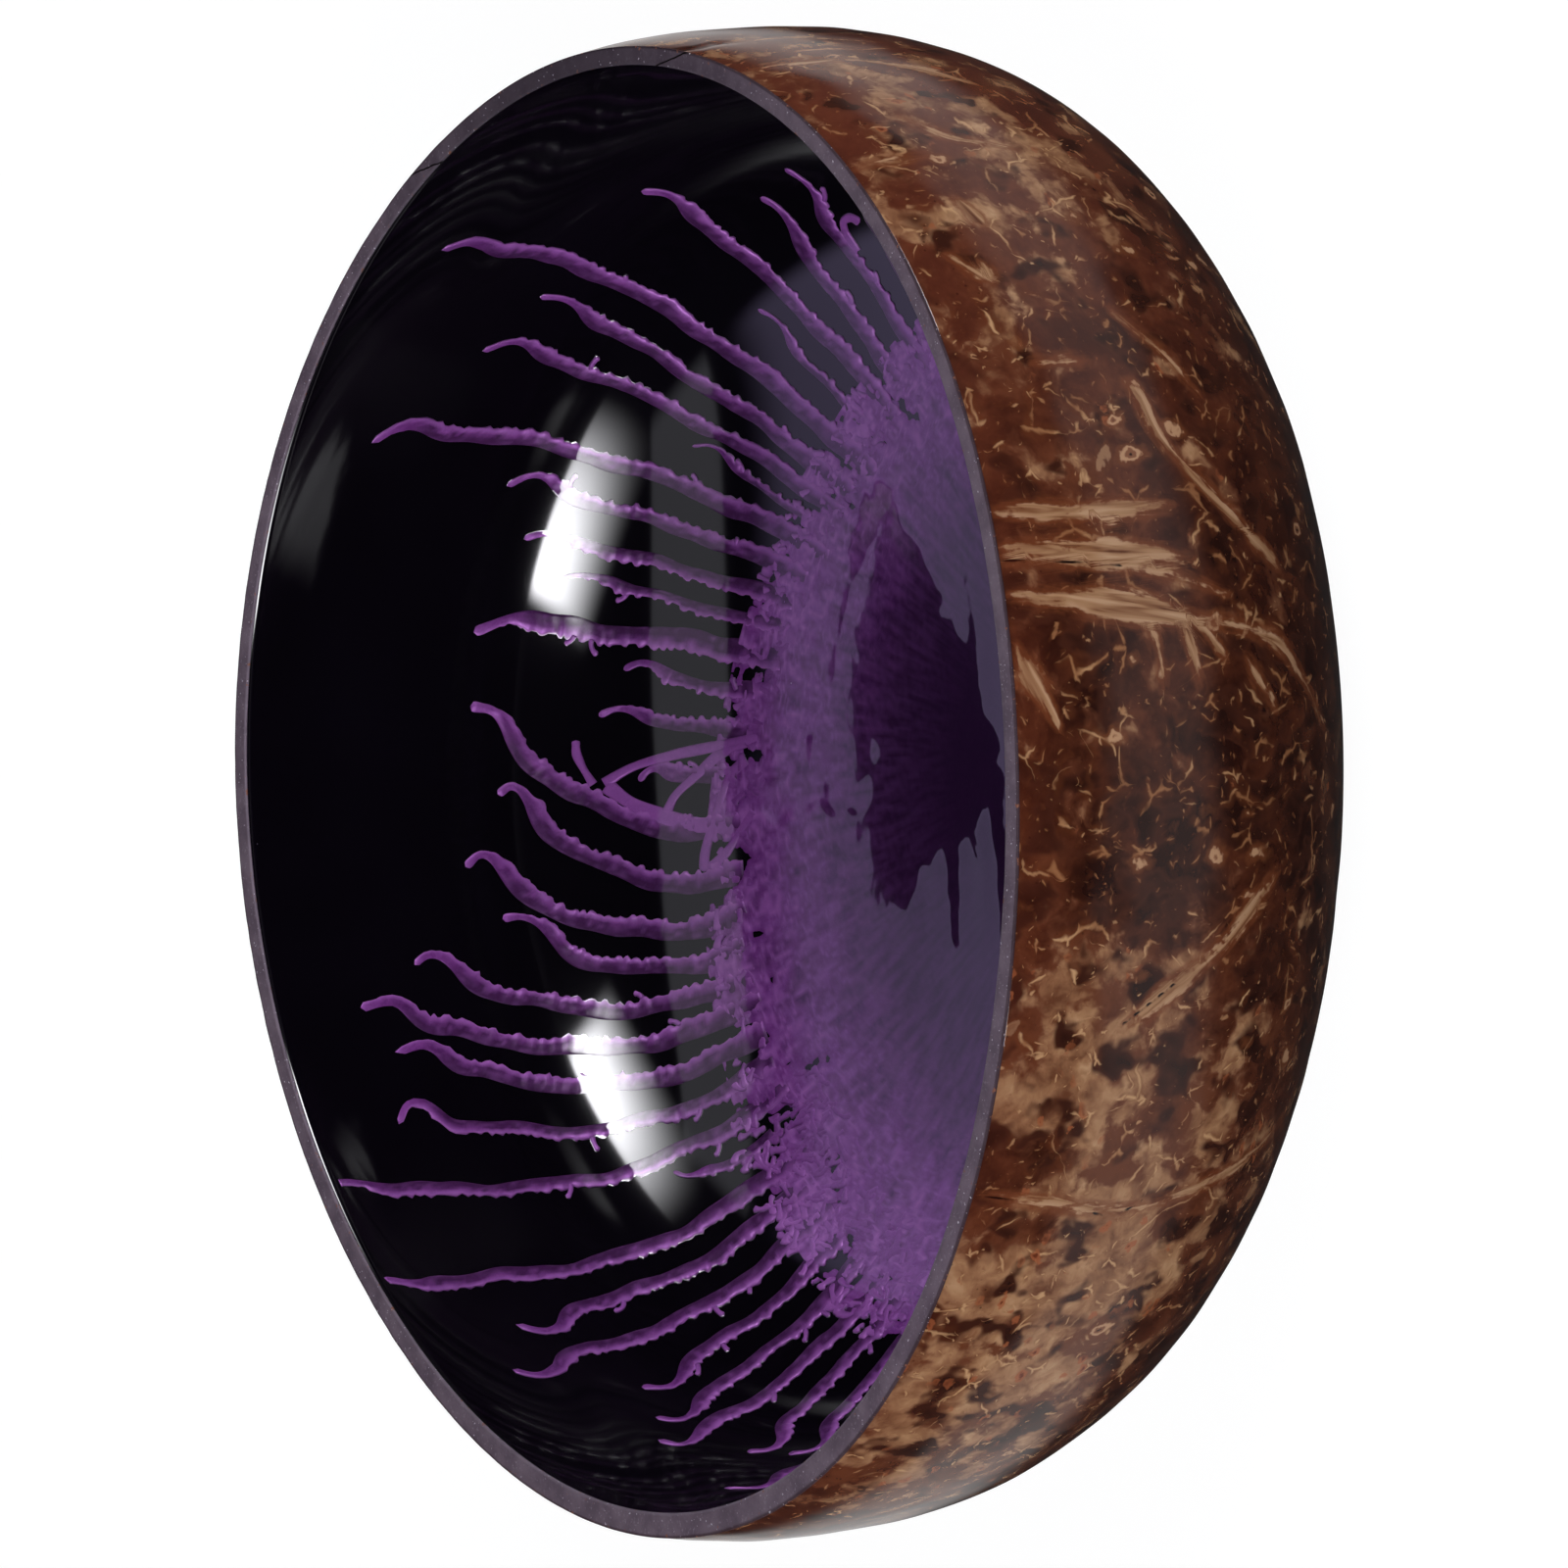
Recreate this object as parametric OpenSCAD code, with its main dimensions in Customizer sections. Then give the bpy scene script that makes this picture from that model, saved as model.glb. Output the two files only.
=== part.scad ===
// Bowl made from half a coconut shell: the nut is cut across above its widest ring,
// its end is sanded flat to stand on, and the inside is lacquered black with purple
// paint poured into the bottom and run up the wall.
// +Z points up, and the origin is the middle of the bowl's box at table height.

/* [Shell] */
// Radius of the nut at its widest ring
shell_radius = 66; // [56:0.5:74]
// Height of the finished bowl, from the table to the rim
bowl_height = 54.5; // [50:0.5:60]
// Height of the widest ring above the table
belly_height = 41.3; // [36:0.1:46]
// Radius of the flat foot sanded on the nut's end
foot_radius = 18; // [12:0.5:24]
// Mean thickness of the shell at the rim
wall = 1.65; // [1.2:0.05:2.6]
// Thickness of the shell over the foot
floor_thickness = 2.6; // [1.6:0.1:4]
// How far the nut's end leans out under the rim's middle, toward +X
lean = 1.6; // [0:0.1:4]

/* [Outline] */
// How full the side is between belly and foot: 2 is an ellipse, more is boxier
fullness = 2.55; // [2:0.05:3]
// How much longer the ring is along its long axis, as a share of the radius
oval_share = 0.025; // [0:0.005:0.05]
// Direction of the long axis, in degrees from +X
oval_turn = -16.5; // [-90:0.5:90]
// Height of the nut's three soft corners, as a share of the radius
lobe_share = 0.019; // [0:0.001:0.03]
// Direction of the first soft corner, in degrees from +X
lobe_turn = -36.4; // [-60:0.2:60]
// How much thicker the wall is on the -X side, as a share of the wall
wall_drift_share = 0.18; // [0:0.02:0.3]

/* [Lacquer] */
// Thickness of the black lacquer inside
lining = 0.3; // [0.2:0.05:0.6]
// Thickness of the lacquer on the cut rim
rim_coat = 0.25; // [0.15:0.05:0.5]
// How far the rim's lacquer is rounded in from its two edges
rim_round = 0.35; // [0.1:0.05:0.5]

/* [Paint] */
// Depth of the paint where it pooled
pool_depth = 0.4; // [0.2:0.05:0.8]
// Height of a run of paint on the wall
run_depth = 0.35; // [0.2:0.05:0.6]
// Width of a full run of paint
run_width = 2.4; // [1.2:0.1:2.5]
// Width of a run's thread at its tip
tip_width = 0.6; // [0.3:0.1:1]
// Bare gap under and between the paint's pieces
paint_gap = 0.08; // [0.05:0.01:0.2]
// Mean climb of the pool's edge, as a share of the way from the bottom to the rim
pool_share = 0.4; // [0.3:0.01:0.45]
// How much higher the pool's edge climbs on the -X side, as a share of the same way
pool_drift_share = 0.08; // [0:0.01:0.1]

/* [Hidden] */

// Steps round the bowl and up its side
around = 72;
rows = 18;
// Depth of the block that sands the foot, well past the nut's end
sanding_depth = 4;

// Shares along the pool, from its middle to its edge
pool_row_shares = [0.25, 0.5, 0.72, 0.88, 0.97, 1];
// Depth of the pool at those rows, as shares of its full depth
pool_depth_shares = [1, 1, 1, 0.95, 0.8, 0.45];
// Direction in which the pool's edge climbs highest
pool_turn = 160;
// Second wave of the pool's edge, as a share of the way to the rim
pool_wave_share = 0.03;

// Stations along a run, as shares of its length, with its width and height there
// as shares of the step between tip and root width and of the full height
run_station_shares = [
    [0, 0.8, 1],
    [0.15, 0.9, 1],
    [0.32, 0.95, 1],
    [0.5, 0.95, 1],
    [0.65, 0.85, 1],
    [0.78, 0.9, 1],
    [0.87, 0.6, 0.9],
    [0.94, 0.15, 0.8],
    [1, 0, 0.6]
];
// Share of a run's half width at which its top is flat
run_top_share = 0.55;
// How strongly a run bends toward its tip, and how far its tip's hook swings
run_bend = 1.6;
run_hook = 1.3;

// Runs of paint on the far side, one row each: where the run leaves the pool and where
// its tip ends, in degrees from +X, how far the tip climbs as a share of the bare wall
// between the pool's edge and the rim, and the run's width as a share of the full width
far_run_shares = [
    [16, 13, 0.36, 0.9],
    [21.5, 18, 0.42, 0.9],
    [27.5, 22.5, 0.41, 1],
    [32.5, 28, 0.62, 1.05],
    [37.5, 35.5, 0.27, 0.7],
    [42.5, 36, 0.86, 1.1],
    [47.5, 43, 0.68, 0.95],
    [51.5, 48.5, 0.74, 0.9],
    [55, 54, 0.26, 0.6],
    [59, 57.5, 0.84, 1],
    [63.5, 63, 0.61, 0.9],
    [67.5, 67.5, 0.54, 0.8],
    [71, 70.5, 0.46, 0.7],
    [75, 75.5, 0.61, 1.1],
    [80, 79.5, 0.27, 0.8],
    [85, 84, 0.31, 0.8],
    [90.5, 90, 0.21, 0.9],
    [96.5, 83, 0.59, 1.05],
    [102, 90, 0.53, 1],
    [106.5, 96, 0.61, 1],
    [110.5, 102.5, 0.53, 0.9],
    [114, 105, 0.73, 0.95],
    [117.5, 109, 0.81, 1],
    [121, 113, 0.77, 1],
    [124.5, 118.5, 0.81, 0.85],
    [128, 124, 0.94, 0.9],
    [132, 130.5, 0.26, 0.7],
    [136, 135, 0.94, 1],
    [140, 140.5, 0.76, 1],
    [144, 146, 0.82, 1],
    [148, 150.5, 0.64, 0.95],
    [152, 155, 0.67, 0.95],
    [156, 159.5, 0.71, 1],
    [160, 163.5, 0.59, 0.95],
    [164.5, 166.5, 0.53, 0.9]
];
// Runs on the near side are spread evenly, and waves set their tips and widths
near_runs = 34;
near_start = 171;
near_sweep = 200;
near_reach_share = 0.52;
near_wave_shares = [0.17, 0.13];
near_width_share = 0.9;
near_swing = 4;

// The nut's long half axis, such that the sanded foot has its radius at table height
nut_half = belly_height / pow(1 - pow(foot_radius / shell_radius, fullness), 1 / fullness);
nut_end = nut_half - belly_height;
shell_top = bowl_height - rim_coat;

// Angle on the nut's outline at a height above the belly
function level(z) = asin(pow((z - belly_height) / nut_half, fullness / 2));
top_level = level(shell_top);
levels = [for (j = [1:rows]) -90 + j * (top_level + 90) / rows];

// The ring's swell at an angle round the bowl, near 1
function swell(a) =
    1 + oval_share * cos(2 * (a - oval_turn)) + lobe_share * cos(3 * (a - lobe_turn));

// Radius and height of the nut's outside at an angle on its outline
function outline(t) = [
    shell_radius * pow(abs(cos(t)), 2 / fullness),
    belly_height + nut_half * sign(sin(t)) * pow(abs(sin(t)), 2 / fullness)
];

// Outward direction of the outline, level above the belly
function outward(p) =
    let (
        rise = max(0, belly_height - p[1]) / nut_half,
        n = [pow(p[0] / shell_radius, fullness - 1) / shell_radius, -pow(rise, fullness - 1) / nut_half]
    ) n / norm(n);

// Thickness of the shell at an angle on its outline and an angle round the bowl
function thickness(t, a) =
    let (floor_part = t < 0 ? pow(sin(t), 2) : 0)
    wall * (1 - wall_drift_share * cos(a) * (1 - floor_part))
    + (floor_thickness + nut_end - wall) * floor_part;

// Point before centring, at a radius and height
function swollen(p, a) = [
    p[0] * swell(a) * cos(a) - lean * p[1] / bowl_height,
    p[0] * swell(a) * sin(a),
    p[1]
];
function angle_of(i) = 360 * i / around;

// Middle of the nut's box seen from above
box_points = [for (t = levels, i = [0:around - 1]) swollen(outline(t), angle_of(i))];
box_xs = [for (p = box_points) p[0]];
box_ys = [for (p = box_points) p[1]];
box_middle = [(max(box_xs) + min(box_xs)) / 2, (max(box_ys) + min(box_ys)) / 2, 0];

// Point on the nut's outside, and a point at a depth inside its inner face
function outside(t, a) = swollen(outline(t), a) - box_middle;
function inside(t, a, depth = 0) =
    swollen(outline(t) - (thickness(t, a) + depth) * outward(outline(t)), a) - box_middle;

// Angle on the outline at a share of the way from the bottom to the rim
function climb(share) = -90 + share * (top_level + 90);

// Closed solid between an outer and an inner cap: each has a pole and the same rings
module cap_solid(outer_pole, outer_rings, inner_pole, inner_rings) {
    n = len(outer_rings[0]);
    m = len(outer_rings);
    outer_points = [for (r = outer_rings, p = r) p];
    inner_points = [for (r = inner_rings, p = r) p];
    points = concat([outer_pole], outer_points, [inner_pole], inner_points);
    second = 1 + m * n;
    edge = m - 1;
    function at(pole, j, i) = pole + 1 + j * n + i % n;
    // The two triangles of one patch of a cap, seen from the cap's convex side
    function lower(pole, j, i) = [at(pole, j, i), at(pole, j + 1, i), at(pole, j + 1, i + 1)];
    function upper(pole, j, i) = [at(pole, j, i), at(pole, j + 1, i + 1), at(pole, j, i + 1)];
    function turned(f) = [f[0], f[2], f[1]];
    faces = concat(
        [for (i = [0:n - 1]) [0, at(0, 0, i), at(0, 0, i + 1)]],
        [for (j = [0:m - 2], i = [0:n - 1]) lower(0, j, i)],
        [for (j = [0:m - 2], i = [0:n - 1]) upper(0, j, i)],
        [for (i = [0:n - 1]) [second, at(second, 0, i + 1), at(second, 0, i)]],
        [for (j = [0:m - 2], i = [0:n - 1]) turned(lower(second, j, i))],
        [for (j = [0:m - 2], i = [0:n - 1]) turned(upper(second, j, i))],
        [for (i = [0:n - 1]) [at(0, edge, i), at(second, edge, i), at(second, edge, i + 1)]],
        [for (i = [0:n - 1]) [at(0, edge, i), at(second, edge, i + 1), at(0, edge, i + 1)]]
    );
    polyhedron(points = points, faces = faces);
}

// Closed tube through rings of points, flat at both ends unless it closes on itself
module tube_solid(rings, closed = false) {
    n = len(rings[0]);
    m = len(rings);
    last = closed ? m - 1 : m - 2;
    points = [for (r = rings, p = r) p];
    function at(j, i) = (j % m) * n + i % n;
    sides = concat(
        [for (j = [0:last], i = [0:n - 1]) [at(j, i), at(j, i + 1), at(j + 1, i + 1)]],
        [for (j = [0:last], i = [0:n - 1]) [at(j, i), at(j + 1, i + 1), at(j + 1, i)]]
    );
    ends = [[for (i = [n - 1:-1:0]) at(0, i)], [for (i = [0:n - 1]) at(m - 1, i)]];
    polyhedron(points = points, faces = closed ? sides : concat(sides, ends));
}

// Hard shell, sanded flat under its end
module shell() {
    color([0.3, 0.17, 0.1])
        difference() {
            cap_solid(
                outside(-90, 0),
                [for (t = levels) [for (i = [0:around - 1]) outside(t, angle_of(i))]],
                inside(-90, 0),
                [for (t = levels) [for (i = [0:around - 1]) inside(t, angle_of(i))]]
            );
            translate([0, 0, -sanding_depth])
                cylinder(r = shell_radius, h = sanding_depth);
        }
}

// Black lacquer over the whole inside
module black_lining() {
    color([0.03, 0.025, 0.04])
        cap_solid(
            inside(-90, 0),
            [for (t = levels) [for (i = [0:around - 1]) inside(t, angle_of(i))]],
            inside(-90, 0, lining),
            [for (t = levels) [for (i = [0:around - 1]) inside(t, angle_of(i), lining)]]
        );
}

// Satin lacquer over the cut edge of shell and lining
module rim_lacquer() {
    lift = [0, 0, rim_coat];
    function edge(a, share) =
        let (out = outside(top_level, a), in = inside(top_level, a, lining)) out + share * (in - out);
    function round_share(a) =
        rim_round / norm(inside(top_level, a, lining) - outside(top_level, a));
    function section(a) = [
        edge(a, 0),
        edge(a, 0) + lift / 2,
        edge(a, round_share(a)) + lift,
        edge(a, 1 - round_share(a)) + lift,
        edge(a, 1) + lift / 2,
        edge(a, 1)
    ];
    color([0.31, 0.3, 0.34])
        tube_solid([for (i = [0:around - 1]) section(-angle_of(i))], closed = true);
}

// Share of the way to the rim at which the pool ends, at an angle round the bowl
function pool_reach(a) =
    pool_share + pool_drift_share * cos(a - pool_turn) + pool_wave_share * cos(2 * (a - pool_turn));

// Paint lying in the bottom, thinner toward its edge
module paint_pool() {
    function ring(k, depth) = [
        for (i = [0:around - 1])
            inside(climb(pool_row_shares[k] * pool_reach(angle_of(i))), angle_of(i), depth)
    ];
    last = len(pool_row_shares) - 1;
    base = lining + paint_gap;
    color([0.42, 0.2, 0.5])
        cap_solid(
            inside(-90, 0, base),
            [for (k = [0:last]) ring(k, base)],
            inside(-90, 0, base + pool_depth),
            [for (k = [0:last]) ring(k, base + pool_depth * pool_depth_shares[k])]
        );
}

// One run of paint from the pool to its tip: root and tip angle, climb and width share
module run(root, tip, climb_share, width_share) {
    start = pool_reach(root) + paint_gap / shell_radius;
    function middle(s) =
        root + (tip - root) * pow(s, run_bend) + run_hook * sin(360 * s) * pow(s, 2);
    function section(st) =
        let (
            t = climb(start + st[0] * climb_share * (1 - start)),
            a = middle(st[0]),
            spread = norm(inside(t, a) - inside(t, a + 1)),
            half = (tip_width + (run_width * width_share - tip_width) * st[1]) / 2 / spread,
            base = lining + paint_gap,
            top = base + run_depth * st[2]
        ) [
            inside(t, a - half, base),
            inside(t, a - half * run_top_share, top),
            inside(t, a + half * run_top_share, top),
            inside(t, a + half, base)
        ];
    tube_solid([for (st = run_station_shares) section(st)]);
}

// Runs of paint on the wall, all round the bowl
module paint_runs() {
    color([0.48, 0.24, 0.56]) {
        for (r = far_run_shares)
            run(r[0], r[1], r[2], r[3]);
        for (k = [0:near_runs - 1]) {
            root = near_start + near_sweep * k / near_runs;
            wave = near_wave_shares[0] * sin(3 * root) + near_wave_shares[1] * sin(root * root);
            run(root, root + near_swing * sin(2 * root), near_reach_share + wave, near_width_share);
        }
    }
}

shell();
black_lining();
rim_lacquer();
paint_pool();
paint_runs();
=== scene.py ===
import math

import bpy
import numpy as np
from mathutils import Matrix


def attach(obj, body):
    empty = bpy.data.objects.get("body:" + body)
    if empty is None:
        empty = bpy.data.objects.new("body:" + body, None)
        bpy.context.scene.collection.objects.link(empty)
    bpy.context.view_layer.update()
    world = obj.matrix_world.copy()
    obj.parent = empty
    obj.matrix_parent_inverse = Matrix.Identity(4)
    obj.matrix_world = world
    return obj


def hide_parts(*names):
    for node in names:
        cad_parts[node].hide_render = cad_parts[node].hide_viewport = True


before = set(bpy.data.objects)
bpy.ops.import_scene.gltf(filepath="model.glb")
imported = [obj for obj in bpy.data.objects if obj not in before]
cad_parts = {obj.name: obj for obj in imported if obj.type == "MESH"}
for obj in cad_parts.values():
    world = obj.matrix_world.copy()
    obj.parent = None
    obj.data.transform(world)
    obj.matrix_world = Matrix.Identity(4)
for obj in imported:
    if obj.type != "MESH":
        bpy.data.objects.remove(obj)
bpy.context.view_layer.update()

scene = bpy.context.scene
scene.view_settings.view_transform = "Standard"

# The stage: a long lens above the near rim, turned on its side so that the far rim is at
# the picture's left, a pale table under the bowl, and studio lamps.
mm = 0.001
view_tilt = math.radians(33.29)
view_roll = 0.0545
view_distance = 898.6
view_lens = 231.86
rim_middle = np.array([-0.056, -1.143, 54.5])
aim_right, aim_up = 15.43, 0.75


def unit(way):
    """Vectors brought to length 1."""
    return way / np.linalg.norm(way, axis=-1, keepdims=True)


def shown(name, data):
    """Object of a mesh, a lamp or a camera, linked into the scene."""
    thing = bpy.data.objects.new(name, data)
    scene.collection.objects.link(thing)
    return thing


def stand(thing, rightward, upward, backward, place):
    """Turn a camera or lamp to three directions, and put it at a place in metres."""
    axes = np.eye(4)
    axes[:3] = np.stack([rightward, upward, backward, place], -1)
    thing.matrix_world = Matrix(axes.tolist())


to_right = np.array([1.0, 0.0, 0.0])
to_top = np.array([0.0, math.sin(view_tilt), math.cos(view_tilt)])
sight = np.array([0.0, math.cos(view_tilt), -math.sin(view_tilt)])
picture_up = math.cos(view_roll) * to_right - math.sin(view_roll) * to_top
picture_left = math.sin(view_roll) * to_right + math.cos(view_roll) * to_top
eye = rim_middle - view_distance * sight
aim = rim_middle - aim_right * picture_left + aim_up * picture_up
backward = unit(eye - aim)
rightward = unit(np.cross(picture_up, backward))

camera = shown("camera", bpy.data.cameras.new("camera"))
camera.data.sensor_width = 36.0
camera.data.lens = view_lens
camera.data.clip_start = 0.01
camera.data.clip_end = 50.0
stand(camera, rightward, np.cross(backward, rightward), backward, eye * mm)
scene.camera = camera


class Field:
    """A shader node's output: a number, colour or place that varies over a surface. Sums,
    differences, products and quotients of fields are Math nodes in the same node tree."""

    def __init__(self, socket):
        self.socket, self.tree = socket, socket.id_data

    def __add__(self, other):
        return calc("ADD", self, other)

    def __sub__(self, other):
        return calc("SUBTRACT", self, other)

    def __rsub__(self, other):
        return calc("SUBTRACT", other, self)

    def __mul__(self, other):
        return calc("MULTIPLY", self, other)

    def __truediv__(self, other):
        return calc("DIVIDE", self, other)

    def __abs__(self):
        return calc("ABSOLUTE", self)

    __radd__, __rmul__ = __add__, __mul__


def feed(node, feeds):
    """Give a node's inputs their values, or link them to the fields that they follow."""
    for name, value in feeds.items():
        if isinstance(value, Field):
            value.tree.links.new(value.socket, node.inputs[name])
        else:
            node.inputs[name].default_value = value


def put(tree, kind, feeds=None, **settings):
    """Shader node of a kind: settings are its own options, feeds go to its inputs."""
    node = tree.nodes.new("ShaderNode" + kind)
    for name, value in settings.items():
        setattr(node, name, value)
    feed(node, feeds or {})
    return node


def field(tree, kind, feeds=None, output=0, **settings):
    """One output of a new shader node."""
    return Field(put(tree, kind, feeds, **settings).outputs[output])


def calc(operation, *terms):
    """Result of a Math node on fields and numbers."""
    tree = next(term.tree for term in terms if isinstance(term, Field))
    return field(tree, "Math", dict(enumerate(terms)), operation=operation)


def vector(operation, first, second):
    """Result of a Vector Math node on a field and a field, three numbers or, to scale, one."""
    second_input = 3 if operation == "SCALE" else 1
    return field(first.tree, "VectorMath", {0: first, second_input: second}, operation=operation)


def parts(place):
    """The three coordinates of a place."""
    node = put(place.tree, "SeparateXYZ", {"Vector": place})
    return [Field(output) for output in node.outputs]


def step(value, low, high):
    """0 below low, 1 above high and an S-shaped rise between; falls where low > high."""
    feeds = {"Value": value, "From Min": low, "From Max": high}
    return field(value.tree, "MapRange", feeds, "Result", interpolation_type="SMOOTHSTEP")


def mix(share, first, second):
    """Colour that goes from the first to the second as the share goes from 0 to 1."""
    return field(share.tree, "Mix", {0: share, 6: first, 7: second}, 2, data_type="RGBA")


def ray(tree, kind):
    """1 for rays of a kind, such as Camera or Glossy, and 0 for others."""
    return field(tree, "LightPath", output=f"Is {kind} Ray")


def seen_plainly(tree):
    """1 for rays from the camera or through glass, and 0 for others."""
    return calc("MAXIMUM", ray(tree, "Camera"), ray(tree, "Transmission"))


def rgb(red, green, blue):
    """Screen colour, 0 to 255, as the linear colour that a shader takes."""
    shares = np.array([red, green, blue]) / 255.0
    low, high = shares / 12.92, ((shares + 0.055) / 1.055) ** 2.4
    return (*np.where(shares <= 0.04045, low, high).tolist(), 1.0)


lamp_distance = 0.9
lamp_height = 0.04
lamp_colour = (0.96, 0.96, 1.0)


def lamp(name, azimuth, elevation, width, height, watts, glossy):
    """Softbox that faces the bowl, from an azimuth (from +Y toward +X) and an elevation in
    degrees. A glossy one shows only in gloss, and is brightest near its lower front
    corner; the others only light."""
    data = bpy.data.lights.new(name, "AREA")
    data.shape = "RECTANGLE"
    data.size, data.size_y = width, height
    data.energy = watts
    data.color = lamp_colour
    if glossy:
        data.use_nodes = True
        tree = data.node_tree
        tree.nodes.clear()
        across, up, _ = parts(field(tree, "NewGeometry", output="Parametric"))
        across = across if azimuth > 0 else 1.0 - across
        fade = step(across, 0.95, 0.15) * step(across, 0.0, 0.15)
        fade = fade * step(up, 0.95, 0.15) * step(up, 0.0, 0.22)
        put(tree, "OutputLight", {"Surface": field(tree, "Emission", {"Strength": fade})})
    turn, lift = math.radians(azimuth), math.radians(elevation)
    flat = math.cos(lift)
    outward = np.array([math.sin(turn) * flat, math.cos(turn) * flat, math.sin(lift)])
    side = unit(np.cross([0.0, 0.0, 1.0], outward))
    box = shown(name, data)
    place = np.array([0.0, 0.0, lamp_height]) + lamp_distance * outward
    stand(box, side, np.cross(outward, side), outward, place)
    box.visible_camera = False
    box.visible_glossy = glossy
    box.visible_diffuse = not glossy


lamp("left_box_gloss", -126, 29, 0.68, 0.60, 175.0, True)
lamp("right_box_gloss", 116, 28, 0.62, 0.54, 142.0, True)
lamp("left_box", -125, 24, 0.7, 0.4, 7.2, False)
lamp("right_box", 122, 24, 0.7, 0.4, 7.2, False)

# The room, as gloss sees it: dark, with two dim panels overhead and a grey horizon
white = (1.0, 1.0, 1.0, 1.0)
even_light = (0.10, 0.10, 0.11, 1.0)
dark_room = (0.02, 0.02, 0.025, 1.0)
near_panel_light = (1.9, 1.9, 2.1, 1.0)
far_panel_light = (1.85, 1.55, 2.65, 1.0)
horizon_light = (0.6, 0.6, 0.63, 1.0)
world = bpy.data.worlds.new("studio")
scene.world = world
world.use_nodes = True
world.cycles.sampling_method = "NONE"
tree = world.node_tree
tree.nodes.clear()
east, north, up = parts(field(tree, "TexCoord", output="Generated"))
level = calc("MAXIMUM", up, 0.02)
side, ahead = east / level, north / level
wide = step(abs(side), 1.5, 1.2)
near_panel = step(ahead, -0.385, -0.365) * step(ahead, 0.06, 0.04)
far_panel = step(ahead, 0.16, 0.42) * step(ahead, 2.6, 1.8)
room = mix(near_panel * wide, dark_room, near_panel_light)
room = mix(far_panel * wide, room, far_panel_light)
room = mix(step(up, 0.30, 0.12), room, horizon_light)
room = mix(ray(tree, "Glossy"), even_light, room)
room = mix(seen_plainly(tree), room, white)
put(tree, "OutputWorld", {"Surface": field(tree, "Background", {"Color": room, "Strength": 1.0})})

# The table: white to the camera, dark in gloss but for a lit ring round the bowl
table_size = 6.0
ring_middle = (0.010, -0.004, 0)
corners = table_size * np.array([[-1, -1, 0], [1, -1, 0], [1, 1, 0], [-1, 1, 0]])
table_top = bpy.data.meshes.new("table")
table_top.from_pydata(corners.tolist(), [], [(0, 1, 2, 3)])
table = shown("table", table_top)
surface = bpy.data.materials.new("white_table")
surface.use_nodes = True
tree = surface.node_tree
tree.nodes.clear()
from_bowl = field(tree, "TexCoord", output="Object")
feeds = {0: from_bowl, 1: ring_middle}
from_bowl = field(tree, "VectorMath", feeds, "Value", operation="DISTANCE")
lit_ring = step(from_bowl, 0.086, 0.104) * step(from_bowl, 0.150, 0.118)
glow = 0.92 * seen_plainly(tree) + ray(tree, "Glossy") * (0.55 * lit_ring)
paper = field(tree, "TexNoise", {"Scale": 3.0, "Detail": 2.0})
paper = mix(paper, (0.15, 0.15, 0.15, 1.0), (0.17, 0.17, 0.17, 1.0))
paper = mix(ray(tree, "Glossy"), paper, (0.04, 0.04, 0.04, 1.0))
plain = field(tree, "BsdfDiffuse", {"Color": paper})
light = field(tree, "Emission", {"Color": white, "Strength": glow})
solid = field(tree, "AddShader", {0: plain, 1: light})
clear = field(tree, "BsdfTransparent")
under = field(tree, "NewGeometry", output="Backfacing")
put(tree, "OutputMaterial", {"Surface": field(tree, "MixShader", {0: under, 1: solid, 2: clear})})
table_top.materials.append(surface)

# The shell: the lower part of one coconut's hard shell, cut across above its widest ring,
# sanded flat under its end and polished. It is thin at the wall and thick at the floor.
# Pale fibre bundles, pits and mottling are in the shell itself.
shell_radius = 66.0
bowl_height = 54.5
belly_height = 41.3
foot_radius = 18.0
wall = 1.65
floor_thickness = 2.6
lean = 1.6
fullness = 2.55
oval_share, oval_turn = 0.025, -16.5
lobe_share, lobe_turn = 0.019, -36.4
wall_drift_share = 0.18
rim_coat = 0.25
box_middle = np.array([-1.5436, 1.1432, 0.0])
nut_half = belly_height / (1 - (foot_radius / shell_radius) ** fullness) ** (1 / fullness)
nut_end = nut_half - belly_height
shell_top = bowl_height - rim_coat
skin = 0.04


def level_at(height):
    """Angle on the nut's outline, in degrees, at a height above the table."""
    rise = (height - belly_height) / nut_half
    return float(np.degrees(np.arcsin(np.sign(rise) * np.abs(rise) ** (fullness / 2))))


end_level = -90.0
foot_level = level_at(0.0)
top_level = level_at(shell_top)


def swell(angle):
    """Radius share round the bowl: a two-sided oval plus a three-sided lobe."""
    oval = oval_share * np.cos(np.radians(2 * (angle - oval_turn)))
    lobe = lobe_share * np.cos(np.radians(3 * (angle - lobe_turn)))
    return 1 + oval + lobe


def outline(turn):
    """Radius and height of the nut's outside: a superellipse about the belly."""
    sine, cosine = np.sin(np.radians(turn)), np.cos(np.radians(turn))
    radius = shell_radius * np.abs(cosine) ** (2 / fullness)
    return radius, belly_height + nut_half * np.sign(sine) * np.abs(sine) ** (2 / fullness)


def nut_point(turn, angle, depth):
    """Point at a depth under the outside, squared to the outline, then swollen and leaned."""
    radius, height = outline(turn)
    drop = np.maximum(0.0, belly_height - height) / nut_half
    out_r = (radius / shell_radius) ** (fullness - 1) / shell_radius
    out_z = -(drop ** (fullness - 1)) / nut_half
    length = np.hypot(out_r, out_z)
    radius, height = radius - depth * out_r / length, height - depth * out_z / length
    radius = radius * swell(angle)
    east = radius * np.cos(np.radians(angle)) - lean * height / bowl_height
    north = radius * np.sin(np.radians(angle))
    return np.stack([east, north, height + 0 * east], -1) - box_middle


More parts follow.
